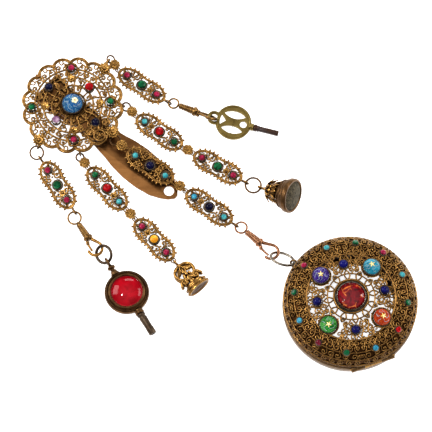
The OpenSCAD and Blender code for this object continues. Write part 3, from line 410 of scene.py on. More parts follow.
def stone_set(prefix, body, node, entries):
    """Stones of one field, a piece for each colour. The first piece stands for the node."""
    sets = {}
    for shade, shape, m in entries:
        sets.setdefault(shade.name, (shade, Net()))[1].add(shape, m)
    for k, (shade, net) in enumerate(sets.values()):
        make(prefix + shade.name, net, [shade], [] if k else [node], body=body)


# Materials


class Shader:
    def __init__(self, name):
        self.material = bpy.data.materials.new(name)
        self.material.use_nodes = True
        self.tree = self.material.node_tree
        self.tree.nodes.clear()
        self.out = self.node("ShaderNodeOutputMaterial")
        places = self.node("ShaderNodeTexCoord")
        self.coords, self.facing = places.outputs["Object"], places.outputs["Normal"]

    def node(self, kind, inputs=None, **settings):
        n = self.tree.nodes.new(kind)
        for key, value in settings.items():
            setattr(n, key, value)
        for key, value in (inputs or {}).items():
            socket = n.inputs[key]
            if isinstance(value, bpy.types.NodeSocket):
                self.tree.links.new(value, socket)
            elif socket.type == "RGBA":
                socket.default_value = (*value, 1.0)
            else:
                socket.default_value = value
        return n

    def noise(self, scale, detail, rough, warp=0.0, squash=None):
        vector = self.coords
        if squash:
            vector = self.node("ShaderNodeMapping", {"Vector": vector, "Scale": squash}).outputs[0]
        return self.node("ShaderNodeTexNoise", {"Vector": vector, "Scale": scale, "Detail": detail,
                                                "Roughness": rough, "Distortion": warp}).outputs[0]

    def ramp(self, factor, stops):
        n = self.node("ShaderNodeValToRGB", {0: factor})
        while len(n.color_ramp.elements) < len(stops):
            n.color_ramp.elements.new(0.5)
        for element, (at, shade) in zip(n.color_ramp.elements, stops):
            element.position = at
            element.color = (*shade, 1.0) if hasattr(shade, "__len__") else (shade, shade, shade, 1.0)
        return n.outputs[0]

    def mix(self, factor, a, b):
        return self.node("ShaderNodeMix", {0: factor, 6: a, 7: b}, data_type="RGBA").outputs[2]

    def math(self, operation, a, b=0.0):
        return self.node("ShaderNodeMath", {0: a, 1: b}, operation=operation).outputs[0]

    def crevice(self, distance, low, high):
        n = self.node("ShaderNodeAmbientOcclusion", {"Distance": distance}, samples=6)
        return self.ramp(n.outputs["AO"], [(low, 0.0), (high, 1.0)])

    def bump(self, height, strength, distance):
        inputs = {"Strength": strength, "Distance": distance, "Height": height}
        return self.node("ShaderNodeBump", inputs).outputs[0]

    def surface(self, **values):
        n = self.node("ShaderNodeBsdfPrincipled", {k.replace("_", " "): v for k, v in values.items()})
        self.tree.links.new(n.outputs[0], self.out.inputs[0])
        return self.material


def metal(name, bright, dull, dark, rough=(0.22, 0.45), grain=900.0, hollow=0.0016, relief=0.25, low=0.2,
          high=0.8, side_shade=0.0):
    """Worn metal, dark in its hollows. The side factor paints shade on its upright sides, darker than its
    faces turned up.
    """
    s = Shader(name)
    tone = s.noise(grain * 0.4, 5.0, 0.6, 0.4)
    colour = s.mix(s.ramp(tone, [(0.35, 0.0), (0.68, 1.0)]), bright, dull)
    spots = s.ramp(s.noise(grain * 1.7, 3.0, 0.7), [(0.6, 0.0), (0.75, 1.0)])
    colour = s.mix(s.math("MULTIPLY", spots, 0.45), colour, dark)
    colour = s.mix(s.crevice(hollow, low, high), dark, colour)
    # Painted shade: faces turned sideways take the dark colour, faces turned up keep theirs
    if side_shade:
        axes = s.node("ShaderNodeSeparateXYZ", {0: s.facing})
        side_shade_mask = s.ramp(axes.outputs[2], [(0.3, 1.0), (0.78, 0.0)])
        colour = s.mix(s.math("MULTIPLY", side_shade_mask, side_shade), colour, dark)
    fine = s.noise(grain * 3.2, 4.0, 0.6)
    roughness = s.ramp(fine, [(0.3, rough[0]), (0.75, rough[1])])
    return s.surface(Base_Color=colour, Metallic=1.0, Roughness=roughness,
                     Normal=s.bump(fine, relief, 0.00006))


def brushed(name, bright, dull, dark, along):
    s = Shader(name)
    lines = s.noise(1.0, 5.0, 0.65, squash=along)
    worn = s.noise(110.0, 5.0, 0.6, 0.5)
    colour = s.mix(s.ramp(lines, [(0.35, 0.0), (0.7, 1.0)]), bright, dull)
    colour = s.mix(s.math("MULTIPLY", s.ramp(worn, [(0.45, 0.0), (0.72, 1.0)]), 0.55), colour, dark)
    colour = s.mix(s.crevice(0.003, 0.2, 0.8), dark, colour)
    roughness = s.ramp(worn, [(0.3, 0.25), (0.8, 0.42)])
    return s.surface(Base_Color=colour, Metallic=1.0, Roughness=roughness,
                     Normal=s.bump(lines, 0.16, 0.00005))


def stone(name, deep, lit, rough=0.04, scale=500.0, painted_glow=0.0, shine=0.22):
    s = Shader(name)
    cloud = s.noise(scale, 4.0, 0.6, 0.8)
    colour = s.mix(s.ramp(cloud, [(0.38, 0.0), (0.66, 1.0)]), deep, lit)
    values = dict(Base_Color=colour, Roughness=rough, IOR=1.5, Specular_IOR_Level=shine)
    # Painted glow: the stone gives off light in its own colour, though it is no lamp
    if painted_glow:
        values.update(Emission_Color=colour, Emission_Strength=painted_glow)
    return s.surface(**values)


def enamel(name, ground, swirl, edge, scale=420.0):
    """Painted glass: flowing threads of a second colour in the ground, and painted shade that darkens it
    towards the girdle, where the setting closes round it.
    """
    s = Shader(name)
    flow = s.noise(scale, 2.0, 0.5, 2.4)
    band = s.math("ABSOLUTE", s.math("SUBTRACT", flow, 0.5))
    thread = s.ramp(band, [(0.0, 0.8), (0.010, 0.55), (0.024, 0.0)])
    patch = s.ramp(s.noise(scale * 0.5, 3.0, 0.5, 1.0), [(0.4, 0.0), (0.65, 1.0)])
    colour = s.mix(patch, ground, tuple(min(1.0, v * 1.9 + 0.01) for v in ground))
    colour = s.mix(thread, colour, swirl)
    # Painted shade: the edge colour where the setting's wall crowds the glass
    colour = s.mix(s.crevice(0.0013, 0.3, 0.9), edge, colour)
    return s.surface(Base_Color=colour, Roughness=0.06, IOR=1.5, Specular_IOR_Level=0.22)


def foiled(name, deep, lit, painted_glint, scale):
    """Red glass over crumpled foil: the foil's bright arcs and sparks are painted reflections, and the glass
    has a faint painted glow.
    """
    s = Shader(name)
    cells = s.node("ShaderNodeTexVoronoi", {"Vector": s.coords, "Scale": scale}, feature="DISTANCE_TO_EDGE")
    web = s.ramp(cells.outputs["Distance"], [(0.0, 1.0), (0.05, 0.35), (0.13, 0.0)])
    cloud = s.noise(scale * 0.7, 3.0, 0.6, 1.6)
    colour = s.mix(s.ramp(cloud, [(0.36, 0.0), (0.64, 1.0)]), deep, lit)
    # Painted reflections: the foil's bright arcs follow a web of cells, in patches
    patches = s.ramp(s.noise(scale * 0.9, 2.0, 0.5, 0.6), [(0.52, 0.0), (0.66, 1.0)])
    colour = s.mix(s.math("MULTIPLY", web, patches), colour, painted_glint)
    # Painted glow: the glass gives off a share of its colour as light
    painted_glow = s.mix(0.55, (0.0, 0.0, 0.0), colour)
    return s.surface(Base_Color=colour, Roughness=0.04, IOR=1.5, Specular_IOR_Level=0.45, Emission_Color=painted_glow,
                     Emission_Strength=0.12)


gilt = metal("antique_gilt", (0.44, 0.24, 0.068), (0.22, 0.11, 0.032), (0.035, 0.015, 0.006))
gilt_pale = metal("gilt_wire", (0.38, 0.21, 0.068), (0.16, 0.084, 0.029), (0.026, 0.011, 0.005), (0.2, 0.38),
                  hollow=0.0010, low=0.12, high=0.75, side_shade=0.85)
gilt_bright = metal("bright_gilt", (0.54, 0.31, 0.095), (0.28, 0.145, 0.044), (0.05, 0.022, 0.008),
                    (0.18, 0.36), low=0.1, high=0.65, side_shade=0.7)
clip_gilt = metal("clip_gilt", (0.32, 0.185, 0.066), (0.16, 0.085, 0.03), (0.025, 0.012, 0.006), side_shade=0.6)
gilt_dark = metal("shaded_gilt", (0.085, 0.038, 0.011), (0.045, 0.02, 0.007), (0.010, 0.005, 0.003),
                  (0.36, 0.58))
gilt_satin = metal("satin_gilt", (0.20, 0.12, 0.054), (0.125, 0.072, 0.032), (0.035, 0.019, 0.01),
                   (0.3, 0.48), grain=300.0, side_shade=0.35)
bronze = metal("dark_bronze", (0.155, 0.086, 0.04), (0.078, 0.042, 0.018), (0.012, 0.007, 0.004), (0.28, 0.5))
dark_silver = metal("dark_setting", (0.17, 0.13, 0.09), (0.085, 0.06, 0.038), (0.012, 0.008, 0.005),
                    (0.3, 0.5))
copper = brushed("worn_copper", (0.29, 0.142, 0.052), (0.19, 0.088, 0.031), (0.08, 0.035, 0.014),
                 (60.0, 500.0, 500.0))
rose = metal("rose_gilt", (0.36, 0.18, 0.10), (0.22, 0.105, 0.056), (0.04, 0.018, 0.010), (0.2, 0.38))
olive = metal("olive_brass", (0.25, 0.185, 0.062), (0.15, 0.105, 0.034), (0.04, 0.026, 0.011), (0.3, 0.5),
              500.0)
iron = metal("old_iron", (0.11, 0.08, 0.055), (0.06, 0.04, 0.026), (0.018, 0.011, 0.008), (0.34, 0.56), 700.0,
             relief=0.5)
rust = metal("rusty_steel", (0.085, 0.066, 0.062), (0.07, 0.035, 0.02), (0.02, 0.011, 0.008), (0.38, 0.62),
             600.0, relief=0.6)
silver = metal("plated_silver", (0.33, 0.29, 0.24), (0.18, 0.15, 0.12), (0.035, 0.027, 0.02), (0.14, 0.3))

pink = stone("pink_stone", (0.15, 0.004, 0.022), (0.42, 0.022, 0.085), painted_glow=0.02)
crimson = stone("crimson_stone", (0.20, 0.001, 0.004), (0.52, 0.006, 0.012), painted_glow=0.03)
garnet = stone("garnet_stone", (0.07, 0.002, 0.012), (0.22, 0.01, 0.03))
emerald = stone("green_stone", (0.001, 0.04, 0.014), (0.006, 0.18, 0.065), painted_glow=0.02)
navy = stone("navy_stone", (0.001, 0.001, 0.014), (0.004, 0.005, 0.05), scale=200.0)
royal = stone("royal_stone", (0.003, 0.003, 0.05), (0.008, 0.010, 0.17), scale=200.0)
turquoise = stone("turquoise_stone", (0.025, 0.25, 0.30), (0.13, 0.50, 0.50), rough=0.14)
blue_turquoise = stone("blue_turquoise_stone", (0.015, 0.18, 0.30), (0.08, 0.40, 0.54), rough=0.14)
lilac = stone("lilac_stone", (0.17, 0.07, 0.15), (0.48, 0.32, 0.44), rough=0.05)
amber = stone("amber_stone", (0.60, 0.22, 0.01), (0.95, 0.55, 0.06), painted_glow=0.05)
smoke = stone("smoky_glass", (0.03, 0.023, 0.012), (0.13, 0.105, 0.062), rough=0.5, scale=900.0, shine=0.08)
red_glass = stone("red_cabochon", (0.26, 0.001, 0.007), (0.46, 0.004, 0.016), scale=140.0, painted_glow=0.05)
red_foil = foiled("red_foiled_stone", (0.055, 0.0004, 0.003), (0.23, 0.002, 0.007), (0.85, 0.24, 0.05), 330.0)

enamel_blue = enamel("blue_enamel", (0.004, 0.06, 0.17), (0.28, 0.52, 0.54), (0.002, 0.006, 0.04), 330.0)
enamel_violet = enamel("violet_enamel", (0.022, 0.006, 0.11), (0.26, 0.24, 0.50), (0.004, 0.001, 0.02))
enamel_turquoise = enamel("turquoise_enamel", (0.008, 0.15, 0.22), (0.35, 0.66, 0.66), (0.002, 0.03, 0.05))
enamel_orange = enamel("orange_enamel", (0.24, 0.02, 0.003), (0.66, 0.22, 0.02), (0.03, 0.004, 0.001))
enamel_green = enamel("green_enamel", (0.006, 0.13, 0.016), (0.30, 0.60, 0.18), (0.001, 0.025, 0.006))
paint_cream = stone("cream_paint", (0.90, 0.80, 0.42), (0.95, 0.90, 0.68), rough=0.15)
paint_yellow = stone("yellow_paint", (0.90, 0.62, 0.12), (0.98, 0.86, 0.40), rough=0.15)
paint_orange = stone("orange_paint", (0.62, 0.16, 0.01), (0.85, 0.30, 0.02), rough=0.15)
thread_white = stone("white_thread", (0.24, 0.30, 0.38), (0.50, 0.56, 0.58), rough=0.2)


# Where things lie, in millimetres: the same tables as the CAD source

BROOCH = (-65.37, 50.24)
BROOCH_R, PLATE_Z, PLATE_T = 23.1, 5.95, 1.1
HANGERS = [(54, 3.6), (-0.5, -0.8), (-40, -0.1), (-81, -0.2), (-127.5, 1.3)]
RING_RADII = [1.75, 1.95, 2.3, 1.75, 3.0]
RING_FEET = [2.8, 2.6, 3.2, 2.6, 2.2]
SPANS = [5.12, 4.72, 4.9, 5.32, 6.4, 4.72, 5.8]
HEADS = {
    "a": [47, -57, -57, -33.3, -10],
    "b": [0, -42.4, -42.4, -34.7, -27, -30.5, -18, -22],
    "c": [-40, -40, -41, -34.2, -39, -35.3, -24],
    "d": [-88, -51.4, -51.4, -48, -47.5, -48.3, -48.5],
    "e": [-111.6, -55, -57.5, -91],
}
LINK_L, LINK_W, WAIST, LIFT, LINK_T = 24.4, 4.75, 4.1, 0.9, 0.8
STAPLE, RING_WIRE, LOOP_R, LOOP_WIRE, JUMP_R = 0.32, 0.4, 1.25, 0.36, 3.5
INSET = RING_WIRE + STAPLE + 0.15 + 0.12
EYE_OUT, HOOP_BACK, HOOP_AHEAD = 0.95, 2.4, 2.6
EYE_SPAN, LOOP_SPAN = LINK_L + 2 * EYE_OUT, LINK_L + EYE_OUT + HOOP_AHEAD
LOOPS_SPAN = LINK_L + HOOP_BACK + HOOP_AHEAD
LOOP_Z = LOOP_R + LOOP_WIRE + 0.02
WINDOW_LO, WINDOW_HI = 2 * STAPLE + 0.02, LIFT + LINK_T + 0.35
RIM_LOOP_Z = PLATE_Z + RING_WIRE - LOOP_R
RIM_RING_Z = RIM_LOOP_Z - LOOP_R + LOOP_WIRE + RING_WIRE + 0.2
# Bail radius, barrel length, hook length and width, roll, heading, height at the bail and at the hook
CLIPS = [(2.3, 7, 9.6, 8, -62, -23.4, 2.4, 4.1), (2.6, 7, 9.6, 8, -3, -41.4, 1.6, 3),
         (2.9, 7, 8.6, 7.6, 0, -56.4, 2.2, 2.4)]
CASE = (58.63, -43.66)
CASE_R, SEAM = 29.7, 10.0


def walk(i, key, spans):
    """The places where the pieces of a drop meet, from its ring on."""
    out = [np.array(BROOCH) + polar(HANGERS[i][0], BROOCH_R + HANGERS[i][1])[:2]]
    for span, head in zip([RING_RADII[i]] + spans, HEADS[key]):
        out.append(out[-1] + polar(head, span)[:2])
    return out


def ring_back(i):
    return RING_RADII[i] - INSET


ROUTE = {
    "a": walk(0, "a", [ring_back(0), SPANS[0], LOOP_SPAN, CLIPS[0][0]]),
    "b": walk(1, "b", [ring_back(1), SPANS[1], EYE_SPAN, SPANS[2], LOOP_SPAN, JUMP_R, JUMP_R]),
    "c": walk(2, "c", [ring_back(2), SPANS[3], EYE_SPAN, SPANS[4], LOOP_SPAN, CLIPS[1][0]]),
    "d": walk(3, "d", [ring_back(3), SPANS[5], EYE_SPAN, SPANS[6], EYE_SPAN, 1.065]),
    "e": walk(4, "e", [RING_RADII[4], LOOPS_SPAN, CLIPS[2][0]]),
}
CLIP_AT = [ROUTE["a"][5], ROUTE["c"][7], ROUTE["e"][4]]


def along(key, i, j, z0, z1, roll=0.0, h=0.0):
    """The frame of a piece from point i to point j of a route, rolled about a line at height h."""
    p = ROUTE[key][i]
    d = ROUTE[key][j] - p
    return (shift(*p, z0) @ turn("z", math.degrees(math.atan2(d[1], d[0])))
            @ turn("y", math.degrees(math.atan2(z0 - z1, math.hypot(*d)))) @ shift(0, 0, h) @ turn("x", roll)
            @ shift(0, 0, -h))


# Brooch

# Wires are bolder than their nominal radius, those finer than FINE the most
BOLD, STOUT, FINE = 2.35, 1.5, 0.24


def wire(net, path, r, m, k, tall=1.0, z=0.0, closed=False):
    path = np.asarray(path, float)
    if path.shape[1] == 2:
        path = np.column_stack([path, np.zeros(len(path))])
    path = path + np.array([0, 0, z])
    net.add(tube(path, r * (BOLD if r < FINE else STOUT), k, closed, (0, 0, 1), tall), m)


def scroll(net, m, at, r, turns, hand, start, tail, wire_r, z, bead=True):
    """A flat scroll in the plane of m, with a ball at its middle."""
    wire_r *= BOLD
    path = spiral(1.08 * r, 0.6 * turns, hand, start, tail) + np.array([at[0], at[1], z])
    net.add(flat_tube(path, np.linspace(wire_r, wire_r * 0.85, len(path)), 7, 1.15), m)
    if bead:
        net.dot(max(0.17 * r, wire_r * 1.25), m, (path[-1][0], path[-1][1], z + 0.05))


LOBE_TURN, LOBES, LOBE_R = 15.25, 16, 5.0
LOBE_STEP = 360 / LOBES
# Angle, share of the brooch's radius, stone radius, colour and cut
GEMS = [
    (92.6, 0.753, 1.45, pink, "cut"), (3.6, 0.744, 1.5, emerald, "cut"), (-86.9, 0.744, 1.45, pink, "cut"),
    (184.8, 0.8, 1.5, emerald, "cut"), (143, 0.592, 1.75, navy, "cab"), (47, 0.475, 1.9, crimson, "cut"),
    (-133, 0.457, 1.75, lilac, "cut"), (-40, 0.592, 1.85, navy, "cab"),
]
FLOWERS = [50.7, -131.2, -35.2]
INNER_FLOWERS = [4, 94, 184, 274]
INNER_FLOWER_R = 0.54 * BROOCH_R
LEAF_CAP, LEAF_CAP_R = 139.6, 20.6
MID = 0.5 * PLATE_T
KEEP_CLEAR = ([(polar(a, share * BROOCH_R), r + 0.75) for a, share, r, _, _ in GEMS]
              + [(polar(a, 0.985 * BROOCH_R), 2.7) for a in FLOWERS]
              + [(polar(a, INNER_FLOWER_R), 1.9) for a in INNER_FLOWERS] + [((0, 0), 5.6)])
brooch_frame = shift(*BROOCH, PLATE_Z)


def is_free(p, r):
    return all(math.hypot(p[0] - q[0], p[1] - q[1]) > r + w for q, w in KEEP_CLEAR)


def lobe_arc(i, r, inset=0.0):
    """The outer arc of one rim lobe, between its crossings with its neighbours."""
    d = BROOCH_R - LOBE_R
    middle = LOBE_TURN + i * LOBE_STEP
    # The crossing lies on the line halfway to the neighbour
    c, s = math.cos(math.pi / LOBES), math.sin(math.pi / LOBES)
    q = d * c + math.sqrt(r * r - (d * s) ** 2)
    limit = math.degrees(math.atan2(q * s, q * c - d))
    angles = np.linspace(middle - limit, middle + limit, 17)
    return np.array([polar(middle, d) + polar(a, r - inset) for a in angles])


def brooch_rim(net, B):
    """Outer and inner scallops, with a leaf at each joint, curls and a loop in each lobe."""
    for i in range(LOBES):
        a = LOBE_TURN + i * LOBE_STEP
        wire(net, lobe_arc(i, LOBE_R - 0.3), 0.33, B, 8, 1.2, MID)
        wire(net, lobe_arc(i, LOBE_R - 0.3, 0.72), 0.17, B, 6, 1.0, MID + 0.1)
        joint = B @ around(a + LOBE_STEP / 2, BROOCH_R - 2.45, MID)
        net.add(petal(2.9, 1.5, 0.3), joint @ turn("z", a + LOBE_STEP / 2 + 180) @ shift(-0.9, 0, 0.1), 2)
        net.dot(0.42, joint, (0, 0, 0.35), 2)
        for side in (-1, 1):
            at = polar(a + side * 5.4, BROOCH_R - 4.4)
            scroll(net, B, at, 1.32, 1.45, -side, a + side * 115, 1.2, 0.19, MID)
            inner = polar(a + side * 4.6, BROOCH_R - 7.5)
            if is_free(inner, 0.7):
                scroll(net, B, inner, 1.12, 1.4, side, a + 180 - side * 80, 0.9, 0.17, MID + 0.05)
        loop = move(ring_path(1.05, 14) * [1.15, 0.8, 1], turn("z", a)) + polar(a, BROOCH_R - 1.95)
        wire(net, loop, 0.14, B, 6, z=MID + 0.12, closed=True)


def brooch_field(net, B):
    """Rings of wire, the scrolls and S curves between them, and spokes with granules."""
    for r, w in ((BROOCH_R - 5.9, 0.2), (13.3, 0.2), (9.4, 0.2), (6.0, 0.26)):
        wire(net, ring_path(r, 96), w, B, 7, 1.1, MID - 0.12, True)
    for r, count, size, phase in ((15.15, 22, 1.42, 3), (11.4, 18, 1.45, 10), (7.75, 16, 1.28, 4)):
        for i in range(count):
            a = phase + i * 360 / count
            p = polar(a, r)
            if is_free(p, size * 0.62):
                hand = 1 if i % 2 else -1
                start = a + (180 if i % 2 else 0) + hand * 30
                scroll(net, B, p, size, 1.5, hand, start, 0.9, 0.18, MID + 0.04 * (i % 3))
                beside = p + polar(a + 90 * hand, size * 0.9) * 0.35
                scroll(net, B, beside, size * 0.45, 0.9, -hand, a, 0.5, 0.14, MID + 0.28, False)
    for r0, r1, count, phase in ((13.4, 17.1, 24, 9), (9.5, 13.2, 20, 2), (17.3, 20.4, 32, 1)):
        for i in range(count):
            a = phase + i * 360 / count
            if is_free(polar(a, 0.5 * (r0 + r1)), 0.3):
                bow = (3.4 if i % 2 else -3.4) * 15 / r1
                path = [polar(a + bow * math.sin(2 * math.pi * t), r0 + t * (r1 - r0))
                        for t in np.linspace(0, 1, 9)]
                wire(net, path, 0.15, B, 6, z=MID - 0.05)
    for i in range(32):
        a = 5 + i * 11.25
        path = [polar(a + 3 * math.sin(math.pi * t), 5.6 + t * 7.7) for t in np.linspace(0, 1, 7)]
        if i % 2:
            wire(net, path, 0.16, B, 6, z=MID + 0.1)
        beads(net, path[1:-1], 0.19, 1.5, B @ shift(0, 0, MID + 0.4))


def brooch_settings(net, B):
    """Collets for the eight stones, wire loops round the outer four, and the toothed gallery."""
    for k, (a, share, r, _, _) in enumerate(GEMS):
        M = B @ around(a, share * BROOCH_R)
        if k < 4:
            wire(net, ring_path(r + 1.15, 28), 0.2, M, 7, 1.2, MID + 0.1, True)
            for j in range(4):
                bar = [polar(45 + 90 * j + a, q, MID) for q in (r + 0.3, r + 1.2)]
                wire(net, bar, 0.15, M, 6)
        collet(net, M, r, PLATE_T + 0.9, 0, 0.55, 0.34, 0.3, 1)
        for s in range(14):
            net.dot(0.16, M, polar(s * 360 / 14, r + 0.5, PLATE_T + 0.1), 1, 7, 4)
    collet(net, B, 4.65, PLATE_T + 1.35, 30, 0.7, 0.42, 0.42, 1)
    bead_ring(net, 5.55, 64, PLATE_T + 0.1, 0.24, 0.56, B)
    twist(net, ring_path(6.15, 64, PLATE_T - 0.15), 0.22, 1.0, B)


def brooch_flowers(net, B):
    """Rosettes, rim flowers, the leaf cap and the ringed curls towards the hook."""
    for a in INNER_FLOWERS:
        rosette(net, B @ around(a, INNER_FLOWER_R, PLATE_T - 0.1), 2.15, 8, 0, 0.35, 2, 2, 0.24 * 2.15)
    for a in FLOWERS:
        rosette(net, B @ around(a, 0.975 * BROOCH_R, PLATE_T - 0.3), 3.1, 12, 0, 0.45, 2, 2, 0.24 * 3.1)
    M = B @ around(LEAF_CAP, LEAF_CAP_R, PLATE_T - 0.3)
    for i in range(5):
        net.add(petal(1.9, 1.3, 0.28, 0.35), M @ turn("z", LEAF_CAP + (i - 2) * 46), 3)
    net.dot(0.62, M, (0, 0, 0.3), 3, 10, 7)
    for a, r, size in ((-50, 19.4, 2.5), (-47, 15.2, 1.7), (-29, 17.6, 1.6), (-58, 15.6, 1.5)):
        M = B @ around(a, r, PLATE_T + 0.1)
        wire(net, ring_path(size, 30), 0.22, M, 7, 1.2, 0.1, True)
        for s in (0, 120, 240):
            scroll(net, M, polar(s + 20, size * 0.45), size * 0.42, 1.2, 1, s + 200, 0.3, 0.17, 0.15)


def brooch_hangers(net):
    top = LOOP_R * 0.98
    for a, out in HANGERS:
        M = shift(*BROOCH) @ around(a, BROOCH_R + out, RIM_LOOP_Z) @ turn("z", a)
        net.add(torus(LOOP_R, LOOP_WIRE, 28, 8), M @ UPRIGHT)
        reach = max(out, 0) + 2
        wire(net, [(-reach, 0, top), (-reach * 0.5, 0, top + 0.05), (0.1, 0, top)], 0.36, M, 7)
        beads(net, [(-1.6, 0, top + 0.42), (0.2, 0, top + 0.42)], 0.22, 0.5, M)


def build_brooch():
    B = brooch_frame
    net = Net()
    for part in (brooch_rim, brooch_field, brooch_settings, brooch_flowers):
        part(net, B)
    brooch_hangers(net)
    make("BroochFiligree", net, [gilt_pale, dark_silver, gilt_bright, copper], ["brooch_plate"])
    seat = PLATE_T + 0.42
    stone_set("BroochStones_", "chatelaine", "brooch_stones", [
        (shade, cut_gem(r * 0.97) if kind == "cut" else cab_gem(r * 0.98, 0.75),
         B @ around(a, share * BROOCH_R, seat))
        for a, share, r, shade, kind in GEMS])
    painted_cabochon("BroochCentreCabochon", "BroochPaintedFlower", B @ shift(0, 0, seat), (4.6, 0.6, 0.3),
                     56, enamel_blue, ["brooch_centre_stone"], "chatelaine", (1.25, 0.62), 1.55,
                     paint_cream, paint_orange)


def dome_point(dome, x, y, lift=0.0):
    """A point and the normal on a cabochon's dome, given as radius, rise and side, in its own frame."""
    r, rise, side = dome
    q = dome_radius(r, rise * r)
    z = math.sqrt(max(q * q - x * x - y * y, 0.01))
    n = np.array([x, y, z]) / q
    return np.array([x, y, side * r + rise * r - q + z]) + n * lift, n


PETALS, THREADS = 5, 6


def painted_cabochon(name, flower, M, dome, n, glass, nodes, body, at, size, shade, heart, spin=0.0,
                     pointed=False):
    """A cabochon with fired paint: a small flower and trailing threads that follow the dome."""
    net = Net()
    net.add(cab_gem(*dome, n), M)
    make(name, net, [glass], nodes, body)
    net = Net()
    for i in range(PETALS):
        a = spin + i * 360 / PETALS
        F = M @ frame_on(*dome_point(dome, *(np.array(at) + polar(a, 0.5 * size)[:2]), 0.02), a)
        if pointed:
            net.add(petal(size * 1.05, size * 0.42, 0.06), F @ shift(-0.45 * size, 0, 0.02))
        else:
            net.add(ball(0.5 * size, 14, 8), F @ grow(1.0, 0.86, 0.13))
    net.add(ball(size * 0.3, 12, 8), M @ frame_on(*dome_point(dome, *at, 0.05)) @ grow(1, 1, 0.4), 1)
    for i in range(THREADS):
        a0 = spin + 60 * i + rng.uniform(-9, 9)
        path = []
        for t in np.linspace(0, 1, 12):
            w = a0 + 38 * math.sin(2.6 * t + i) * t + 28 * t
            path.append(dome_point(dome, *polar(w, dome[0] * (0.40 + 0.42 * t))[:2])[0])
        net.add(tube(path, 0.05 + 0.010 * dome[0], 6), M, 2)
    make(flower, net, [shade, heart, thread_white], body=body)


build_brooch()


# CAD pieces shown with softened edges


def bevelled(name, node, material, width):
    """A copy of a CAD node, its flat faces joined up again and its edges rounded."""
    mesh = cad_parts[node].data.copy()
    mesh.name = name
    work = bmesh.new()
    work.from_mesh(mesh)
    bmesh.ops.remove_doubles(work, verts=work.verts, dist=2e-6)
    bmesh.ops.dissolve_limit(work, angle_limit=math.radians(1.2), verts=work.verts, edges=work.edges)
    work.to_mesh(mesh)
    work.free()
    mesh.materials.clear()
    mesh.materials.append(material)
    piece = show(name, mesh)
    bpy.context.view_layer.objects.active = piece
    bevel = piece.modifiers.new("Bevel", "BEVEL")
    bevel.width = width * 0.001
    bevel.segments = 3
    bevel.limit_method = "ANGLE"
    bevel.angle_limit = math.radians(28)
    bevel.use_clamp_overlap = True
    bpy.context.view_layer.update()
    got = piece.evaluated_get(bpy.context.evaluated_depsgraph_get())
    final = bpy.data.meshes.new_from_object(got)
    piece.modifiers.clear()
    piece.data = final
    final.shade_smooth()
    final.set_sharp_from_angle(angle=math.radians(38))
    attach(piece, "chatelaine")
    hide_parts(node)


bevelled("BeltHookStrip", "belt_hook", copper, 0.22)


# Rings, connectors and links


def solder(net, m, a, r, size, shape):
    """The small swelling where a ring was closed."""
    net.add(ball(size, 10, 7), m @ around(a, r) @ turn("z", a) @ grow(*shape))


def build_rings():
    net = Net()
    for i, key in enumerate("abcde"):
        centre, mean = ROUTE[key][1], RING_RADII[i]
        far_z = RING_FEET[i] + (LOOP_Z if key == "e" else (WINDOW_LO + WINDOW_HI) / 2)
        chord = centre + polar(HEADS[key][1], mean)[:2] - ROUTE[key][0]
        head = math.degrees(math.atan2(chord[1], chord[0]))
        slope = math.degrees(math.asin((RIM_RING_Z - far_z) / math.hypot(*chord)))
        M = shift(*centre, (RIM_RING_Z + far_z) / 2) @ turn("z", head) @ turn("y", slope)
        net.add(torus(mean, RING_WIRE, 44, 10), M)
        net.add(ball(0.47), M @ shift(0.3 * mean, 0.95 * mean, 0) @ grow(1.5, 0.9, 1.0))
    make("AttachmentRings", net, [bronze], ["ring_" + key for key in "abcde"])
    net = Net()
    M = along("b", 6, 8, 1.4, 1.4) @ shift(JUMP_R, 0, 0)
    net.add(torus(JUMP_R, 0.45, 64, 12), M)
    net.add(ball(0.5), M @ around(75, JUMP_R) @ turn("z", 75) @ grow(1.0, 1.5, 1.0))
    make("JumpRing", net, [bronze], ["jump_ring_b"])


# Name, which starts with its route, the point it starts from, and the heights of both ends
CONNECTORS = [("a0", 2, 2.8, 2.45), ("b0", 2, 2.6, 2.1), ("b1", 4, 0, 0), ("c0", 2, 3.2, 2.9),
              ("c1", 4, 1.25, 0.65), ("d0", 2, 2.6, 2.1), ("d1", 4, 0, 0)]
STAPLE_CORNER = 0.42


def build_connectors():
    top, low = WINDOW_HI + STAPLE - STAPLE_CORNER, WINDOW_LO - STAPLE + STAPLE_CORNER
    for (name, i, z0, z1), span in zip(CONNECTORS, SPANS):
        net = Net()
        M = along(name[0], i, i + 1, z0, z1)
        far = span - STAPLE_CORNER
        corners = ((STAPLE_CORNER, low, 270), (STAPLE_CORNER, top, 180), (far, top, 90), (far, low, 0))
        path = [np.array([x, 0, z]) + polar(a0 - t * 22.5, STAPLE_CORNER)[[0, 2, 1]]
                for x, z, a0 in corners for t in range(5)]
        net.add(tube(path, STAPLE * 0.98, 9, True, (0, 1, 0)), M)
        F = M @ shift(span / 2, 0, WINDOW_HI + 0.15)
        net.add(lathe([(0, -0.1), (1.5, -0.1), (1.7, 0.15), (1.2, 0.55), (0, 0.7)], 28), F)
        rosette(net, F, 2.62, 8, 0.25, 0.1, 2, 1, 0.5)
        for j in range(8):
            net.add(torus(0.34, 0.12, 12, 6), F @ around(22.5 + 45 * j, 2.1, 0.35), 1)
        bead_ring(net, 1.55, 30, 0.62, 0.17, 0.42, F, 1)
        make("Connector_" + name, net, [gilt, gilt_bright], ["connector_" + name])


def link_half(x):
    """Half the width of a link at x from its middle: a waist, a bulge and round ends."""
    bulge = 0.4 * LINK_L / 2
    d = abs(x)
    if d < bulge:
        return WAIST + (LINK_W - WAIST) * (1 - math.cos(math.pi * d / bulge)) / 2
    return LINK_W * math.sqrt(max(1 - ((d - bulge) / (LINK_L / 2 - bulge)) ** 2, 0))


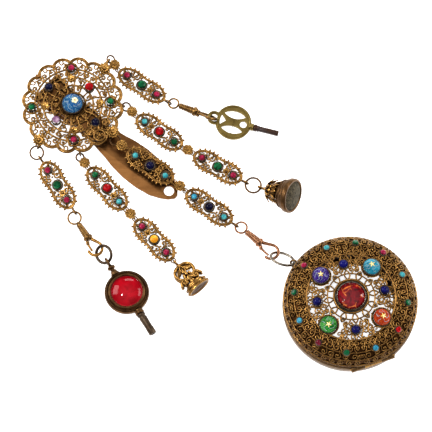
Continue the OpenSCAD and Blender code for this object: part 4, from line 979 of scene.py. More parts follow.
# Name, which starts with its route, the point it starts from, the heights of both ends, roll, kinds of end,
# 0 for an eye and 1 for a hoop, stones and the side of the gold flower
LINKS = [
    ("a1", 3, 2.5, 0.8, -8, (0, 1), (pink, emerald, pink), 1),
    ("b1", 3, 2.1, 0, 0, (0, 0), (turquoise, crimson, emerald), -1),
    ("b2", 5, 0, 0, 0, (0, 1), (pink, emerald, pink), 1),
    ("c1", 3, 2.9, 1.25, 0, (0, 0), (turquoise, navy, turquoise), 1),
    ("c2", 5, 0.65, 0, 0, (0, 1), (blue_turquoise, navy, turquoise), -1),
    ("d1", 3, 2.1, 0, 0, (0, 0), (emerald, crimson, turquoise), 1),
    ("d2", 5, 0, 0.36, 0, (0, 0), (pink, amber, pink), -1),
    ("e1", 2, 2.2, 0.6, 18, (1, 1), (pink, emerald, pink), 1),
]
LINK_Z = LIFT + LINK_T / 2
SPIKES = 12
SPIKE = [(0, -0.4), (0.58, -0.2), (0.52, 0.35), (0.42, 0.85), (0.3, 1.14), (0, 1.22)]
LINK_STONES = [(-8.2, 1.4), (0, 1.9), (8.2, 1.4)]


def link_edge(net, L):
    """A heavy wire, an inner wire and a row of spikes with a granule at each foot."""
    xs = LINK_L / 2 * np.sin(np.linspace(-math.pi / 2, math.pi / 2, 57))
    upper = np.array([(x, link_half(x)) for x in xs])
    outline = np.concatenate([upper, upper[::-1][1:-1] * [1, -1]])
    wire(net, outline * [1.0, 0.97], 0.27, L, 8, 1.25, LINK_Z, True)
    wire(net, outline * [0.945, 0.86], 0.15, L, 6, 1.0, LINK_Z + 0.12, True)
    for s in (-1, 1):
        for j in range(SPIKES):
            x = (-0.44 + 0.88 * j / (SPIKES - 1)) * LINK_L
            slope = math.degrees(math.atan2(link_half(x + 0.1) - link_half(x - 0.1), 0.2))
            spike = L @ shift(x, s * (link_half(x) - 0.1), LINK_Z) @ turn("z", s * (90 + slope))
            net.add(lathe(SPIKE, 7), spike @ ALONG_X)
            net.dot(0.34, L, (x, s * (link_half(x) - 0.2), LINK_Z + 0.3), 0, 7, 5)


def link_scrolls(net, L):
    """Scrolls and long wires between the stones, mirrored across both axes."""
    z = LINK_Z
    for end in (-1, 1):
        for s in (-1, 1):
            # Place, radius, turns, hand, start angle, tail, wire and lift
            for x, y, r, turns, hand, start, tail, w, lift in (
                    (4.15, 1.95, 1.35, 1.5, 1, 90 - 90 * s - 30 * end, 1.0, 0.19, 0.0),
                    (5.7, 1.0, 0.75, 1.2, 1, 90 * s, 0.5, 0.15, 0.1),
                    (4.3, 3.7, 0.7, 1.2, -1, -90 * s, 0.5, 0.15, 0.08),
                    (6.4, 3.1, 0.95, 1.3, -1, 90 + 90 * s, 0.8, 0.16, 0.05),
                    (2.3, 3.0, 0.85, 1.3, 1, 90 * s, 0.7, 0.16, 0.05),
                    (10.1, 1.35, 0.8, 1.25, 1, 90 + 90 * end, 0.6, 0.16, 0.0)):
                scroll(net, L, (end * x, s * y), r, turns, hand * end * s, start, tail, w, z + lift)
            for r, corners in ((0.17, ((1.2, 3.9), (3.2, 2.9), (5.2, 4.6), (8.4, 3.3))),
                               (0.16, ((5.6, 0.6), (6.2, 2.0), (8.0, 2.9), (10.6, 2.2)))):
                net.add(flat_tube(bezier(*((end * x, s * y, z) for x, y in corners), 10), r, 6), L)
        wire(net, [(end * 11.8, -0.9), (end * 12.0, 0), (end * 11.8, 0.9)], 0.3, L, 7, z=z)
        net.dot(0.42, L, (end * 11.4, 0, z + 0.35))


def link_setting(net, S, r):
    """A dark collet on a square foot, with four claws."""
    net.add(lathe([(0, 0), (r + 0.35, 0.0), (r + 0.5, 0.3), (r + 0.38, 0.9), (r + 0.42, 1.6), (r + 0.3, 2.0),
                   (r * 0.9, 2.0), (r * 0.8, 1.25), (0, 1.2)], 28), S, 2)
    for a in (0, 90, 180, 270):
        claw = [(r + 0.45, 0, 0.6), (r + 0.62, 0, 1.4), (r + 0.3, 0, 2.15), (r - 0.25, 0, 2.3)]
        net.add(tube(claw, [0.24, 0.26, 0.24, 0.16], 7), S @ turn("z", 45 + a), 2)
        bar = [polar(a - 38, r + 0.75, 1.5), polar(a, r + 0.62, 1.45), polar(a + 38, r + 0.75, 1.5)]
        net.add(flat_tube(bar, 0.17, 6), S, 2)


def link_end(net, L, end, hoop):
    """A flat eye or an upright hoop."""
    if not hoop:
        net.add(torus(1.06, 0.27, 26, 8, 1.35), L @ shift(end * (LINK_L / 2 + EYE_OUT), 0, LINK_Z))
        return
    reach = LINK_L / 2 + (HOOP_AHEAD if end > 0 else HOOP_BACK)
    net.add(torus(LOOP_R, LOOP_WIRE, 26, 8), L @ shift(end * reach, 0, LOOP_Z) @ UPRIGHT)
    wire(net, [(end * (LINK_L / 2 - 0.6), 0), (end * (reach - LOOP_R + 0.1), 0)], 0.36, L, 8, z=LINK_Z)
    net.dot(0.5, L, (end * (LINK_L / 2 + 0.5), 0, LINK_Z))


def build_link(name, i, z0, z1, roll, ends, shades, side):
    mid = LINK_L / 2 + (HOOP_BACK if ends[0] else EYE_OUT)
    L = along(name[0], i, i + 1, z0, z1, roll, LINK_Z) @ shift(mid, 0, 0)
    net = Net()
    link_edge(net, L)
    link_scrolls(net, L)
    rosette(net, L @ shift(side * 4.35, 0, LINK_Z + 0.25), 1.55, 6, 0.1, 0.2, 1, 1, 0.42)
    net.dot(0.5, L, (-side * 4.35, 0, LINK_Z + 0.35), 1)
    for k, ((x, r), shade) in enumerate(zip(LINK_STONES, shades)):
        S = L @ shift(x, 0, 0)
        link_setting(net, S, r)
        smooth = shade in (turquoise, blue_turquoise, navy)
        gem = Net()
        gem.add(cab_gem(r * 0.97, 0.8, 0.3, 26) if smooth else cut_gem(r * 0.97, 0.9), S @ shift(0, 0, 1.36))
        make("Stone_%s_%d" % (name, k + 1), gem, [shade], ["link_" + name + "_stones"] if k == 1 else [])
    for end, hoop in zip((-1, 1), ends):
        link_end(net, L, end, hoop)
    make("Link_" + name, net, [gilt_pale, gilt_bright, dark_silver], ["link_" + name])


build_rings()
build_connectors()
for entry in LINKS:
    build_link(*entry)


# Swivel clips

BAIL_WIRE, HOOK_WIRE, GATE_Y = 0.45, 0.65, -1.5
RIBS = 7


def build_clip(i, key, shade, hook_shade):
    bail_r, length, reach, width, roll, head, z0, z1 = CLIPS[i]
    barrel = bail_r + BAIL_WIRE + 0.25
    collar = barrel + length
    hook = collar + 1.8
    pin = hook + 0.9
    arc_r = width / 2 - HOOK_WIRE
    arc_x = hook + reach - HOOK_WIRE - arc_r
    M = shift(*CLIP_AT[i], z0) @ turn("z", head) @ turn("y", math.degrees(math.atan2(z0 - z1, arc_x + arc_r)))
    R = M @ turn("x", roll)
    arc_at = np.array([arc_x, 0, 0])
    name = "clip_" + key

    net = Net()
    net.add(torus(bail_r, BAIL_WIRE, 44, 10), M)
    net.add(lathe([(0, -0.1), (0.75, 0.0), (0.62, 0.35), (0.4, 0.6), (0.4, 2.6), (0, 2.6)], 18),
            M @ shift(bail_r - 0.1, 0, 0) @ ALONG_X)
    net.dot(0.62, M, (bail_r, 0, 0), 0, 10, 7)
    make("ClipBail_" + key, net, [shade], [name + "_bail"])

    net = Net()
    profile = [(0.55, 0.0), (1.2, 0.0), (1.45, 0.25), (1.25, 0.6)]
    step = (length - 1.2) / RIBS
    for k in range(RIBS):
        z, r = 0.7 + k * step, 1.32 + 0.34 * k / RIBS
        profile += [(r - 0.12, z), (r + 0.1, z + 0.22 * step), (r + 0.1, z + 0.5 * step),
                    (r - 0.12, z + 0.75 * step)]
    collar_rows = ((1.6, -0.3), (2.0, -0.1), (2.12, 0.3), (2.12, 0.85), (1.95, 1.15), (1.7, 1.3), (1.72, 1.7),
                   (1.2, 1.85), (0, 1.9))
    profile += [(r, length + z) for r, z in collar_rows]
    net.add(lathe(profile, 36), R @ shift(barrel, 0, 0) @ ALONG_X)
    for s in range(16):
        net.dot(0.2, R @ shift(collar + 0.55, 0, 0) @ turn("x", s * 22.5), (0, 2.06, 0), 0, 7, 5)
    run = arc_x - hook
    lean = math.degrees(math.asin(arc_r / math.hypot(run, 1.1)) - math.atan2(1.1, run))
    path = np.array([(hook - 0.5, 1.0, 0), (hook + 0.4, 1.12, 0)]
                    + [arc_at + polar(a, arc_r) for a in np.arange(90 + lean, -100, -9.0)])
    radii = np.full(len(path), HOOK_WIRE)
    radii[:3] = (0.85, 0.78, 0.7)
    radii[-3:] = (0.66, 0.72, 0.68)
    net.add(flat_tube(path, radii, 12), R, 1)
    for s in (-1, 1):
        net.add(lathe([(0, 0), (0.75, 0.0), (0.8, 0.12), (0.8, 0.5), (0.7, 0.62), (0, 0.66)], 18),
                R @ shift(pin, GATE_Y, 0.72 if s > 0 else -1.36))
        net.dot(0.36, R, (pin, GATE_Y, s * 1.34))
    make("ClipHook_" + key, net, [shade, hook_shade], [name + "_hook"])

    net = Net()
    tip = arc_at + polar(-96, arc_r - 1.42)
    root = np.array([pin, GATE_Y, 0])
    path = bezier(root + [0.1, 0, 0], root + [1.2, -0.35, 0], tip - [1.2, 0.05, 0], tip)
    net.add(flat_tube(path, np.linspace(0.56, 0.46, 12), 10), R)
    net.add(lathe([(0.36, -0.6), (0.78, -0.56), (0.8, 0), (0.78, 0.56), (0.36, 0.6), (0.36, -0.6)], 22),
            R @ shift(*root))
    net.dot(0.56, R, tip, 0, 10, 7)
    make("ClipGate_" + key, net, [hook_shade], [name + "_gate"], name + "_gate_body")


build_clip(0, "a", clip_gilt, clip_gilt)
build_clip(1, "c", rose, rose)
build_clip(2, "e", clip_gilt, gilt)


# Keys

# A key runs along X. Its eye, bow or frame, and end are places on that line, MID is half the bow's thickness,
# AT is where the line starts, and HEAD, SLOPE and ROLL turn it
KEY_A_EYE, KEY_A_BOW, KEY_A_END, KEY_A_MID = 2.52, 8.95, 30.0, 0.65
KEY_A_AT, KEY_A_HEAD, KEY_A_SLOPE = (-1.16, 45.51, 2.5), -13.9, 2.6
DARK_RING_AT, DARK_RING_HEAD, DARK_RING_ROLL, DARK_RING_R = (-50.45, -19.24, 2.98), -53.5, 36, 3.9
KEY_E_AT, KEY_E_HEAD, KEY_E_FRAME_X, KEY_E_FRAME_R, KEY_E_END = (-48.69, -22.76, 2.4), -58, 16.4, 10.0, 38.8


def build_key_a():
    bevelled("KeyBowPlate", "key_a_bow", olive, 0.28)
    K = shift(*KEY_A_AT) @ turn("z", KEY_A_HEAD) @ turn("y", KEY_A_SLOPE) @ shift(0, 0, -KEY_A_MID)
    net = Net()
    net.add(torus(KEY_A_EYE, 0.3, 36, 8, 0.8), K @ shift(0, 0, 1.28))
    net.add(torus(7.45, 0.28, 72, 8, 0.8), K @ shift(KEY_A_BOW, 0, 1.28))
    beads(net, [(KEY_A_BOW, -6.0, 1.35), (KEY_A_BOW, 6.0, 1.35)], 0.2, 1.1, K)
    net.add(lathe([(1.5, -0.9), (1.72, -0.7), (1.75, -0.4), (1.55, -0.2), (1.5, 0.2), (1.7, 0.4), (1.7, 0.75),
                   (1.5, 0.9)], 26), K @ shift(17.5, 0, KEY_A_MID) @ ALONG_X)
    make("KeyBowBeading", net, [olive])
    net = Net()
    x0 = KEY_A_BOW + 9.5
    S = K @ shift(x0, 0, KEY_A_MID)
    net.add(lathe([(0, -1.2), (0.9, -1.15), (0.93, 0), (1.35, 0.05), (1.58, 0.3), (1.58, 1.3), (1.3, 1.6),
                   (1.25, 1.9), (1.45, 2.1), (1.4, 2.45), (0, 2.5)], 26), S @ ALONG_X)
    # The square shank: eight points a section, its corners cut
    end = KEY_A_END - x0
    sections = [(2.2, 1.0), (2.5, 1.1), (5.0, 1.1), (8.0, 1.12), (end - 0.3, 1.15), (end, 1.0)]
    points = [(x, *np.clip(w * 1.08 * 1.35 * polar(22.5 + 45 * k, 1)[:2], -w, w))
              for x, w in sections for k in range(8)]
    faces = [strip(6, 8)[:, ::-1], np.arange(8)[None, ::-1], (np.arange(8) + 40)[None, :]]
    net.add((points, faces, True), S)
    net.add(lathe([(0.62, 0.0), (0.62, -1.2), (0, -1.2)], 4, False),
            K @ shift(KEY_A_END + 0.02, 0, KEY_A_MID) @ ALONG_X @ turn("z", 45))
    make("KeyShankSquare", net, [rust], ["key_a_shank"])


def build_key_e():
    D = shift(*DARK_RING_AT) @ turn("z", DARK_RING_HEAD) @ turn("x", DARK_RING_ROLL)
    net = Net()
    net.add(torus(DARK_RING_R, 0.66, 64, 14), D)
    solder(net, D, 200, DARK_RING_R, 0.7, (0.98, 1.3, 0.98))
    make("DarkRing", net, [iron], ["dark_ring_e"])
    E = shift(*KEY_E_AT) @ turn("z", KEY_E_HEAD)
    F = E @ shift(KEY_E_FRAME_X, 0, 0)
    net = Net()
    net.add(torus(1.75, 0.55, 36, 10), E @ UPRIGHT)
    net.add(lathe([(0, 1.6), (0.9, 1.8), (0.8, 2.3), (1.75, 2.55), (1.85, 3.0), (1.75, 3.6), (1.1, 3.85),
                   (1.0, 4.5), (1.5, 4.9), (1.55, 5.6), (2.1, 6.4), (1.7, 7.2), (0, 7.4)], 26), E @ ALONG_X)
    net.add(lathe([(0, -2.2), (8.0, -2.2), (8.6, -2.05), (9.3, -1.6), (9.85, -0.8), (KEY_E_FRAME_R, 0.0),
                   (9.85, 0.8), (9.4, 1.5), (9.1, 1.65), (9.0, 2.0), (8.6, 2.2), (8.15, 2.25), (7.9, 2.65),
                   (7.45, 2.75), (7.32, 2.5), (7.32, 1.4), (0, 1.35)], 96), F)
    twist(net, ring_path(8.62, 96, 2.22), 0.3, 1.25, F, 1)
    bead_ring(net, 9.42, 96, 1.52, 0.27, 0.78, F, 1)
    collet(net, F @ shift(0, 0, 1.3), 7.22, 1.35, 40, 0.34, 0.3, 0.25, 0)
    net.add(lathe([(0, 9.0), (2.0, 9.2), (2.1, 10.0), (1.8, 10.3), (2.05, 10.7), (2.1, 11.5), (1.15, 11.62),
                   (1.1, 10.8), (0, 10.8)], 26), F @ ALONG_X)
    make("KeyBezel", net, [bronze, gilt_dark], ["key_e_frame"])
    net = Net()
    net.add(cab_gem(7.18, 0.32, 0.04, 72), F @ shift(0, 0, 1.42))
    make("KeyCabochon", net, [red_glass], ["key_e_stone"])
    net = Net()
    x0 = KEY_E_FRAME_X + KEY_E_FRAME_R + 1.75
    l = KEY_E_END - x0
    net.add(lathe([(0, -1.3), (0.9, -1.25), (0.93, -0.05), (1.7, 0.0), (1.9, 0.2), (1.85, 0.9), (1.55, 1.2),
                   (1.5, 1.6), (1.82, 2.0), (1.75, 2.6), (1.62, l - 4.2), (1.72, l - 3.0), (1.78, l - 2.8),
                   (1.72, l - 2.5), (1.72, l - 0.3), (1.55, l), (0.95, l), (0.9, l - 3), (0, l - 3)], 30),
            E @ shift(x0, 0, 0) @ ALONG_X)
    make("KeyShankRound", net, [iron], ["key_e_shank"])


# Seals

EYE_R, EYE_WIRE = 1.2, 0.36
LOWEST_LEAF = 0.45


def laid(p, head, h, l, r):
    """The frame of a seal that hangs from an eye at height h and rests on its far edge."""
    tip = math.degrees(math.asin(-h / math.hypot(l, r)) + math.atan2(r, l))
    return shift(*p, h) @ turn("z", head) @ turn("y", -tip)


def seal_leaf(net, Q, l, w, cup):
    """A curled leaf with a rib and a granule. One that would reach into the table is shorter."""
    tip, root = (Q @ [l, 0, cup, 1])[2], Q[2, 3]
    q = min(1.0, max(0.25, (root - LOWEST_LEAF) / max(root - tip, 0.01))) if tip < LOWEST_LEAF else 1.0
    net.add(petal(q * l, w, 0.42, q * cup), Q)
    rib = q * bezier((0.2, 0, 0.3), (0.35 * l, 0, 0.3 + 0.1 * cup), (0.7 * l, 0, 0.3 + 0.5 * cup),
                     (0.98 * l, 0, cup + 0.1), 6)
    net.add(tube(rib, np.linspace(0.2, 0.1, 6), 6), Q)
    net.dot(0.3, Q, (q * l, 0, q * cup), 0, 8, 5)


def build_seal_b():
    L, R = 17.2, 7.9
    S = laid(ROUTE["b"][8], -23, EYE_R + EYE_WIRE + 0.05, 0.84 * L, R)
    X = S @ ALONG_X
    net = Net()
    net.add(torus(EYE_R, EYE_WIRE, 30, 9), S @ UPRIGHT)
    # Radius and share of the length
    stem = [(0, 0.09), (0.75, 0.1), (0.6, 0.14), (0.6, 0.18), (1.4, 0.2), (1.9, 0.23), (2.9, 0.28),
            (3.15, 0.33), (2.9, 0.39), (2.1, 0.44), (1.75, 0.49), (2.0, 0.53), (3.2, 0.585), (4.4, 0.64),
            (5.2, 0.67)]
    base = [(0, 0.66), (5.3, 0.665), (6.25, 0.675), (6.35, 0.70), (6.1, 0.72), (6.45, 0.745), (6.5, 0.765),
            (7.0, 0.775), (7.1, 0.81), (6.85, 0.83), (7.4, 0.84), (7.82, 0.86), (7.88, 0.9), (7.88, 0.97),
            (7.6, 0.997), (6.75, 0.997), (6.7, 0.94), (0, 0.94)]
    net.add(lathe([(r, z * L) for r, z in stem], 48), X)
    net.add(lathe([(r, z * L) for r, z in base], 64), X, 1)
    rows = ((0.2, 2.4, 8, 4.6, 2.2, 1.6), (0.34, 2.9, 10, 5.2, 2.4, 2.0), (0.5, 3.3, 12, 4.4, 2.1, 1.5))
    for row, (z, r, count, l, w, cup) in enumerate(rows):
        for i in range(count):
            Q = X @ turn("z", (i + 0.5 * row) * 360 / count) @ shift(r * 0.75, 0, z * L)
            seal_leaf(net, Q @ turn("y", -22 - 12 * row), l, w, cup)
    bead_ring(net, 1.25, 20, 0.19 * L, 0.26, 0.6, X)
    bead_ring(net, 6.3, 60, 0.69 * L, 0.3, 0.72, X, 1)
    make("SealCrownBody", net, [gilt_bright, bronze], ["seal_b_body"])
    net = Net()
    net.add(lathe([(0, L - 1.05), (6.5, L - 1.05), (6.58, L - 0.9), (6.5, L - 0.3), (6.1, L - 0.05),
                   (0, L - 0.02)], 64), X)
    make("SealGlassFace", net, [smoke], ["seal_b_glass"])


def seal_scrolls(net, S, z, s):
    """One quarter of seal D's openwork, at height z and on side s."""
    for corners, r0, r1, n in ((((3.0, 0.2), (2.6, 3.4), (5.4, 5.4), (8.2, 4.1)), 0.62, 0.8, 14),
                               (((8.2, 4.1), (10.4, 3.1), (9.8, 1.1), (7.8, 1.5)), 0.8, 0.55, 12)):
        path = bezier(*((x, y * s, z) for x, y in corners), n)
        net.add(flat_tube(path, np.linspace(r0, r1, n), 8, 1.2), S)
    curl = spiral(1.75, 1.3, s, 90 * s, 0.8) + np.array([10.9, s * 3.2, z])
    net.add(flat_tube(curl, np.linspace(0.72, 0.5, len(curl)), 8, 1.2), S)
    net.dot(0.62, S, (curl[-1][0], curl[-1][1], z), 0, 10, 7)
    net.add(petal(3.6, 1.7, 0.4, 0.5), S @ shift(4.6, s * 1.0, z * 1.1) @ turn("z", s * 52))
    net.add(petal(3.0, 1.5, 0.4, 0.4), S @ shift(9.4, s * 1.2, z * 1.1) @ turn("z", s * 28))
    path = bezier((3.4, 0, z), (4.8, 1.5 * s, z), (6.4, 1.4 * s, z), (7.2, 0, z), 10)
    net.add(flat_tube(path, 0.36, 7, 1.3), S)


def build_seal_d():
    L, W, D, foot = 16.8, 11.4, 8.0, 13.2
    S = laid(ROUTE["d"][7], -49, EYE_WIRE + LINK_Z, L - 0.3 * 3.4, D / 2)
    X = S @ ALONG_X
    net = Net()
    net.add(torus(EYE_R, EYE_WIRE, 30, 9), S @ UPRIGHT)
    net.add(lathe([(0, 1.1), (0.7, 1.2), (0.55, 1.7), (1.2, 2.1), (1.35, 2.6), (0.9, 3.1), (0, 3.2)], 20), X)
    for z in (-1.0, 1.0):
        for s in (-1, 1):
            seal_scrolls(net, S, z, s)
        net.dot(0.95, S, (7.9, 0, z * 0.9), 0, 12, 8)
        net.add(petal(4.2, 2.2, 0.5, 0.2), S @ shift(8.6, 0, z * 1.15))
    net.add(lathe([(0, 3.0), (0.9, 3.2), (0.7, 5.0), (1.1, 7.5), (0.8, 9.4), (1.5, 11.5), (2.4, 13.2),
                   (0, 13.3)], 20), X)
    B = X @ shift(0, 0, foot) @ grow(D / 2, W / 2, 1.0)
    net.add(lathe([(0, -0.3), (0.55, -0.25), (0.76, 0.0), (0.8, 0.4), (0.78, 0.8), (0.9, 1.0), (0.93, 1.4),
                   (0.9, 1.8), (0.8, 1.95), (0.82, 2.25), (0.97, 2.45), (1.0, 2.8), (1.0, 3.3), (0.96, 3.58),
                   (0.8, 3.6), (0.78, 3.35), (0, 3.3)], 56), B)
    net.add(lathe([(0, 3.36), (0.3, 3.4), (0.34, 3.34), (0.5, 3.34), (0.54, 3.4), (0.78, 3.38)], 48), B, 1)
    for z, q in ((1.2, 0.96), (2.9, 1.01)):
        ring = ring_path(1.0, 72) * [D / 2 * q, W / 2 * q, 1] + [0, 0, foot + z]
        beads(net, closed_path(ring), 0.2, 0.5, X)
    make("SealScrollBody", net, [gilt_bright, gilt_dark], ["seal_d_body"])


# Watch case

SHOULDER, LID_R, LID_TOP, LID_RISE = 8.0, 29.3, 19.75, 1.7
CROWN_R = LID_R - SHOULDER
DOME = dome_radius(CROWN_R, LID_RISE)
CURVE = 5.5
HINGE = -70.5
case_frame = shift(*CASE)


def quarter(at, r, f0, f1, n):
    """Points of a profile along an arc of radius r, from angle f0 to f1 from the axis."""
    return [(at[0] + r * math.sin(f), at[1] + r * math.cos(f)) for f in np.radians(np.linspace(f0, f1, n))]


def lid_point(a, s, lift=0.0):
    """A point over the lid at angle a and distance s along its surface, and the normal there."""
    if s < CROWN_R:
        r, n = s, (s / DOME, math.sqrt(1 - (s / DOME) ** 2))
        z = LID_TOP + LID_RISE - DOME + math.sqrt(DOME ** 2 - s * s)
    else:
        f = min((s - CROWN_R) / SHOULDER, math.pi / 2)
        n = (math.sin(f), math.cos(f))
        r, z = CROWN_R + SHOULDER * n[0], LID_TOP - SHOULDER + SHOULDER * n[1]
        z -= max(s - CROWN_R - SHOULDER * math.pi / 2, 0)
    normal = polar(a, n[0], n[1])
    return polar(a, r, z) + normal * lift, normal


# Wires of the see-through middle, out to this distance, are the boldest
MIDDLE_S, MIDDLE_BOLD, LID_BOLD = 18.7, 2.0, 1.6


def lid_wire(net, flat, r, lift, k=6, closed=False):
    """A wire given by (angle, distance) points, laid on the lid."""
    points, ups = map(np.array, zip(*(lid_point(a, s, lift) for a, s in flat)))
    r *= MIDDLE_BOLD if flat[0][1] < MIDDLE_S else LID_BOLD
    net.add(tube(points, r, k, closed, ups, 1.1), case_frame)


def lid_scroll(net, a, s, r, hand, start, turns, wire_r, tail, lift):
    path = spiral(1.05 * r, 0.74 * turns, hand, start, tail, int(9 * turns) + 5)
    flat = [(a + math.degrees(y / lid_point(0, s + x)[0][0]), s + x) for x, y, _ in path]
    lid_wire(net, flat, wire_r, lift)
    net.dot(max(0.2 * r, 0.26), case_frame, lid_point(*flat[-1], lift + 0.1)[0], 1, 8)


def on_lid(a, s, lift=0.0):
    p, n = lid_point(a, s, lift)
    out = polar(a, 1)
    x = unit(out - n * (out @ n))
    return case_frame @ axes_at(x, np.cross(n, x), n, p)


# Scrolls of an eighth of the field: distance from the middle, then rows of angle, radius and hand
WEDGE = [
    (21.2, [(3.2, 1.2, -1)]), (21.3, [(9.4, 1.2, 1)]), (21.2, [(15.6, 1.2, -1)]), (21.4, [(22.4, 1.2, 1)]),
    (21.2, [(29.0, 1.2, -1)]), (21.3, [(35.6, 1.2, 1)]), (21.2, [(42.0, 1.2, -1)]),
    (26.9, [(30.2, 1.3, 1), (44.0, 1.1, -1), (1.8, 1.1, 1)]), (17.6, [(17.6, 1.2, 1), (25.0, 1.3, -1)]),
    (17.4, [(40.8, 1.3, 1)]), (14.4, [(28.2, 1.2, 1)]), (14.6, [(38.6, 1.2, -1)]),
    (30.2, [(3.75 + 7.5 * i, 1.45, -1 if i % 2 else 1) for i in range(6)]),
    (26.9, [(8.4, 1.45, -1), (15.2, 1.5, 1), (22.0, 1.45, -1), (38.2, 1.45, 1)]),
    (23.2, [(4.2, 1.35, 1)]), (23.5, [(11.6, 1.5, -1)]), (23.3, [(19.3, 1.55, 1)]), (23.0, [(27.0, 1.5, -1)]),
    (23.2, [(34.4, 1.4, 1)]), (23.3, [(41.6, 1.4, -1)]),
    (19.7, [(19.8, 1.5, -1)]), (19.5, [(28.6, 1.45, 1)]), (19.6, [(37.6, 1.4, -1)]),
    (16.0, [(22.4, 1.35, 1)]), (16.1, [(31.2, 1.3, -1)]), (12.6, [(24.5, 1.15, -1)]),
    (12.2, [(35.0, 1.1, 1)]),
]
# The angle that the pattern is mirrored about, and the lid's stones
GEM_AXIS = 54.4
FLOWER_STONES = [(144, enamel_violet, (-0.35, 0.2)), (55.5, enamel_turquoise, (0.1, 0.3)),
                 (-35.5, enamel_orange, (0.1, 0.3)), (-128.5, enamel_green, (0.1, 0.3))]
DARK_STONES = (11, 102, 189, 277)
SHOULDER_STONES = [pink, turquoise, emerald, pink, turquoise, emerald, crimson, blue_turquoise, emerald,
                   garnet, blue_turquoise, emerald]
FLOWER_S, DARK_S, SHOULDER_S = 0.55 * LID_R, 0.51 * LID_R, CROWN_R + SHOULDER * math.asin(3.3 / SHOULDER)


def build_case_back(hinge):
    net = Net()
    C = case_frame
    # The wall: open bottom, rounded foot, rolled lips and the inside
    R, at = CASE_R, (CASE_R - CURVE, CURVE)
    profile = [(20.5, 1.3), (20.3, 0.75), (20.5, 0.2), (20.9, 0.0), (R - CURVE, 0.0)]
    profile += quarter(at, CURVE, 172, 90, 11)
    profile += [(R + r, z) for r, z in ((0, 7.6), (0, 8.6), (-0.25, 8.75), (-0.25, 9.0), (0, 9.15), (0, 9.75),
                                        (-0.3, 10.0), (-1.0, 10.0), (-1.3, 9.8), (-1.3, 5.5))]
    profile += quarter(at, 4.2, 100, 180, 7) + [(20.9, 1.3), (20.5, 1.3)]
    net.add(lathe(profile[::-1], 144), C)
    for z0, z1 in ((-10.0, -4.1), (4.1, 10.0)):
        mid = (z0 + z1) / 2
        net.add(lathe([(0, z0), (1.3, z0), (1.5, z0 + 0.2), (1.5, mid - 0.1), (1.42, mid), (1.5, mid + 0.1),
                       (1.5, z1 - 0.2), (1.3, z1), (0, z1)], 24), hinge)
    P = C @ around(141, R + 1.6, 4.563) @ turn("z", 141)
    net.add(torus(1.5, 0.5, 32, 9), P @ turn("x", -42))
    net.add(lathe([(0, -2.4), (1.5, -2.3), (1.55, -1.9), (1.0, -1.6), (0.85, -1.35), (0, -1.3)], 20),
            P @ ALONG_X)
    make("WatchShellBack", net, [gilt_satin], ["case_back"])
    net = Net()
    net.add(lathe([(0, -10.4), (0.5, -10.35), (0.6, -10.1), (0.6, 10.1), (0.5, 10.35), (0, 10.4)], 18), hinge)
    for s in (-1, 1):
        net.add(ball(0.62, 10, 6), hinge @ shift(0, 0, s * 10.15) @ grow(1, 1, 0.5))
    make("WatchShellHingePin", net, [gilt], ["case_hinge_pin"])


# The bow ring is tilted about its X axis, with its low side just above the table
BOW_AT, BOW_HEAD, BOW_TILT = (29.29, -21.83), -20.7, 46.9


def build_bow_ring():
    net = Net()
    r, wire_r = 5.4, 0.6
    height = r * math.sin(math.radians(BOW_TILT)) + wire_r + 0.02
    B = shift(*BOW_AT, height) @ turn("z", BOW_HEAD) @ turn("x", -BOW_TILT)
    net.add(torus(r, wire_r, 80, 14), B)
    solder(net, B, 70, r, 0.66, (0.97, 1.2, 0.97))
    make("BowRing", net, [silver], ["bow_ring"])


def build_lid_sheet(hinge):
    """Band and annulus of gilt sheet, with a rolled edge round the pierced middle."""
    net = Net()
    z0, at = SEAM + 0.15, (CROWN_R, LID_TOP - SHOULDER)
    section = [(LID_R + r, z0 + z)
               for r, z in ((-1.3, 0), (-0.3, 0), (0, 0.2), (0, 0.75), (-0.22, 0.9), (0, 1.1))]
    section += quarter(at, SHOULDER - 0.25, 90, 0, 12)
    edge = lid_point(0, 19.4, -0.25)[0]
    section += [(edge[0] + r, edge[2] + z)
                for r, z in ((0, 0), (-0.35, -0.1), (-0.45, -0.4), (-0.25, -0.7), (1.8, -0.85))]
    section += quarter(at, SHOULDER - 1.2, 0, 90, 8) + [(LID_R - 1.3, z0)]
    net.add(lathe(section, 144), case_frame)
    net.add(lathe([(0, -4.0), (1.3, -4.0), (1.5, -3.8), (1.5, 3.8), (1.3, 4.0), (0, 4.0)], 24), hinge, 1)
    make("LidSheet", net, [gilt_dark, gilt_bright], ["case_lid"], "lid")


def build_lid_scrollwork():
    """Rings of wire that bound the fields, and the wedges of scrolls."""
    net = Net()
    for s, w, lift in ((7.45, 0.3, 0.25), (10.4, 0.17, 0.1), (19.5, 0.3, 0.1), (25.0, 0.19, 0.02),
                       (28.7, 0.19, 0.02), (32.2, 0.3, 0.05)):
        lid_wire(net, [(i * 3.0, s) for i in range(120)], w, lift, 7, True)
    twist(net, [lid_point(i * 3.0, 33.2, 0.05)[0] for i in range(120)], 0.3, 1.3, case_frame)
    scrolls = [(a, s, r, hand) for s, row in WEDGE for a, r, hand in row]
    for axis in range(4):
        middle = GEM_AXIS + axis * 90
        for mirror in (-1, 1):
            for k, (a, s, r, hand) in enumerate(scrolls):
                start, outer = 180 if k % 2 else 0, s > 19
                lid_scroll(net, middle + mirror * a, s, r, hand * mirror, start + mirror * hand * 35, 1.5,
                           0.205 if outer else 0.18, 0.9, 0.08 if outer else 0.0)
            for a, s0, s1 in ((15.0, 24.4, 28.2), (29.5, 19.9, 24.2), (7.6, 28.6, 31.6), (22.5, 28.6, 31.6),
                              (37.5, 28.6, 31.6)):
                flat = [(middle + mirror * (a + 3.2 * math.sin(math.pi * t)), s0 + (s1 - s0) * t)
                        for t in np.linspace(0, 1, 7)]
                lid_wire(net, flat, 0.17, 0.05)
    make("LidScrollwork", net, [gilt_pale, gilt_bright], body="lid")


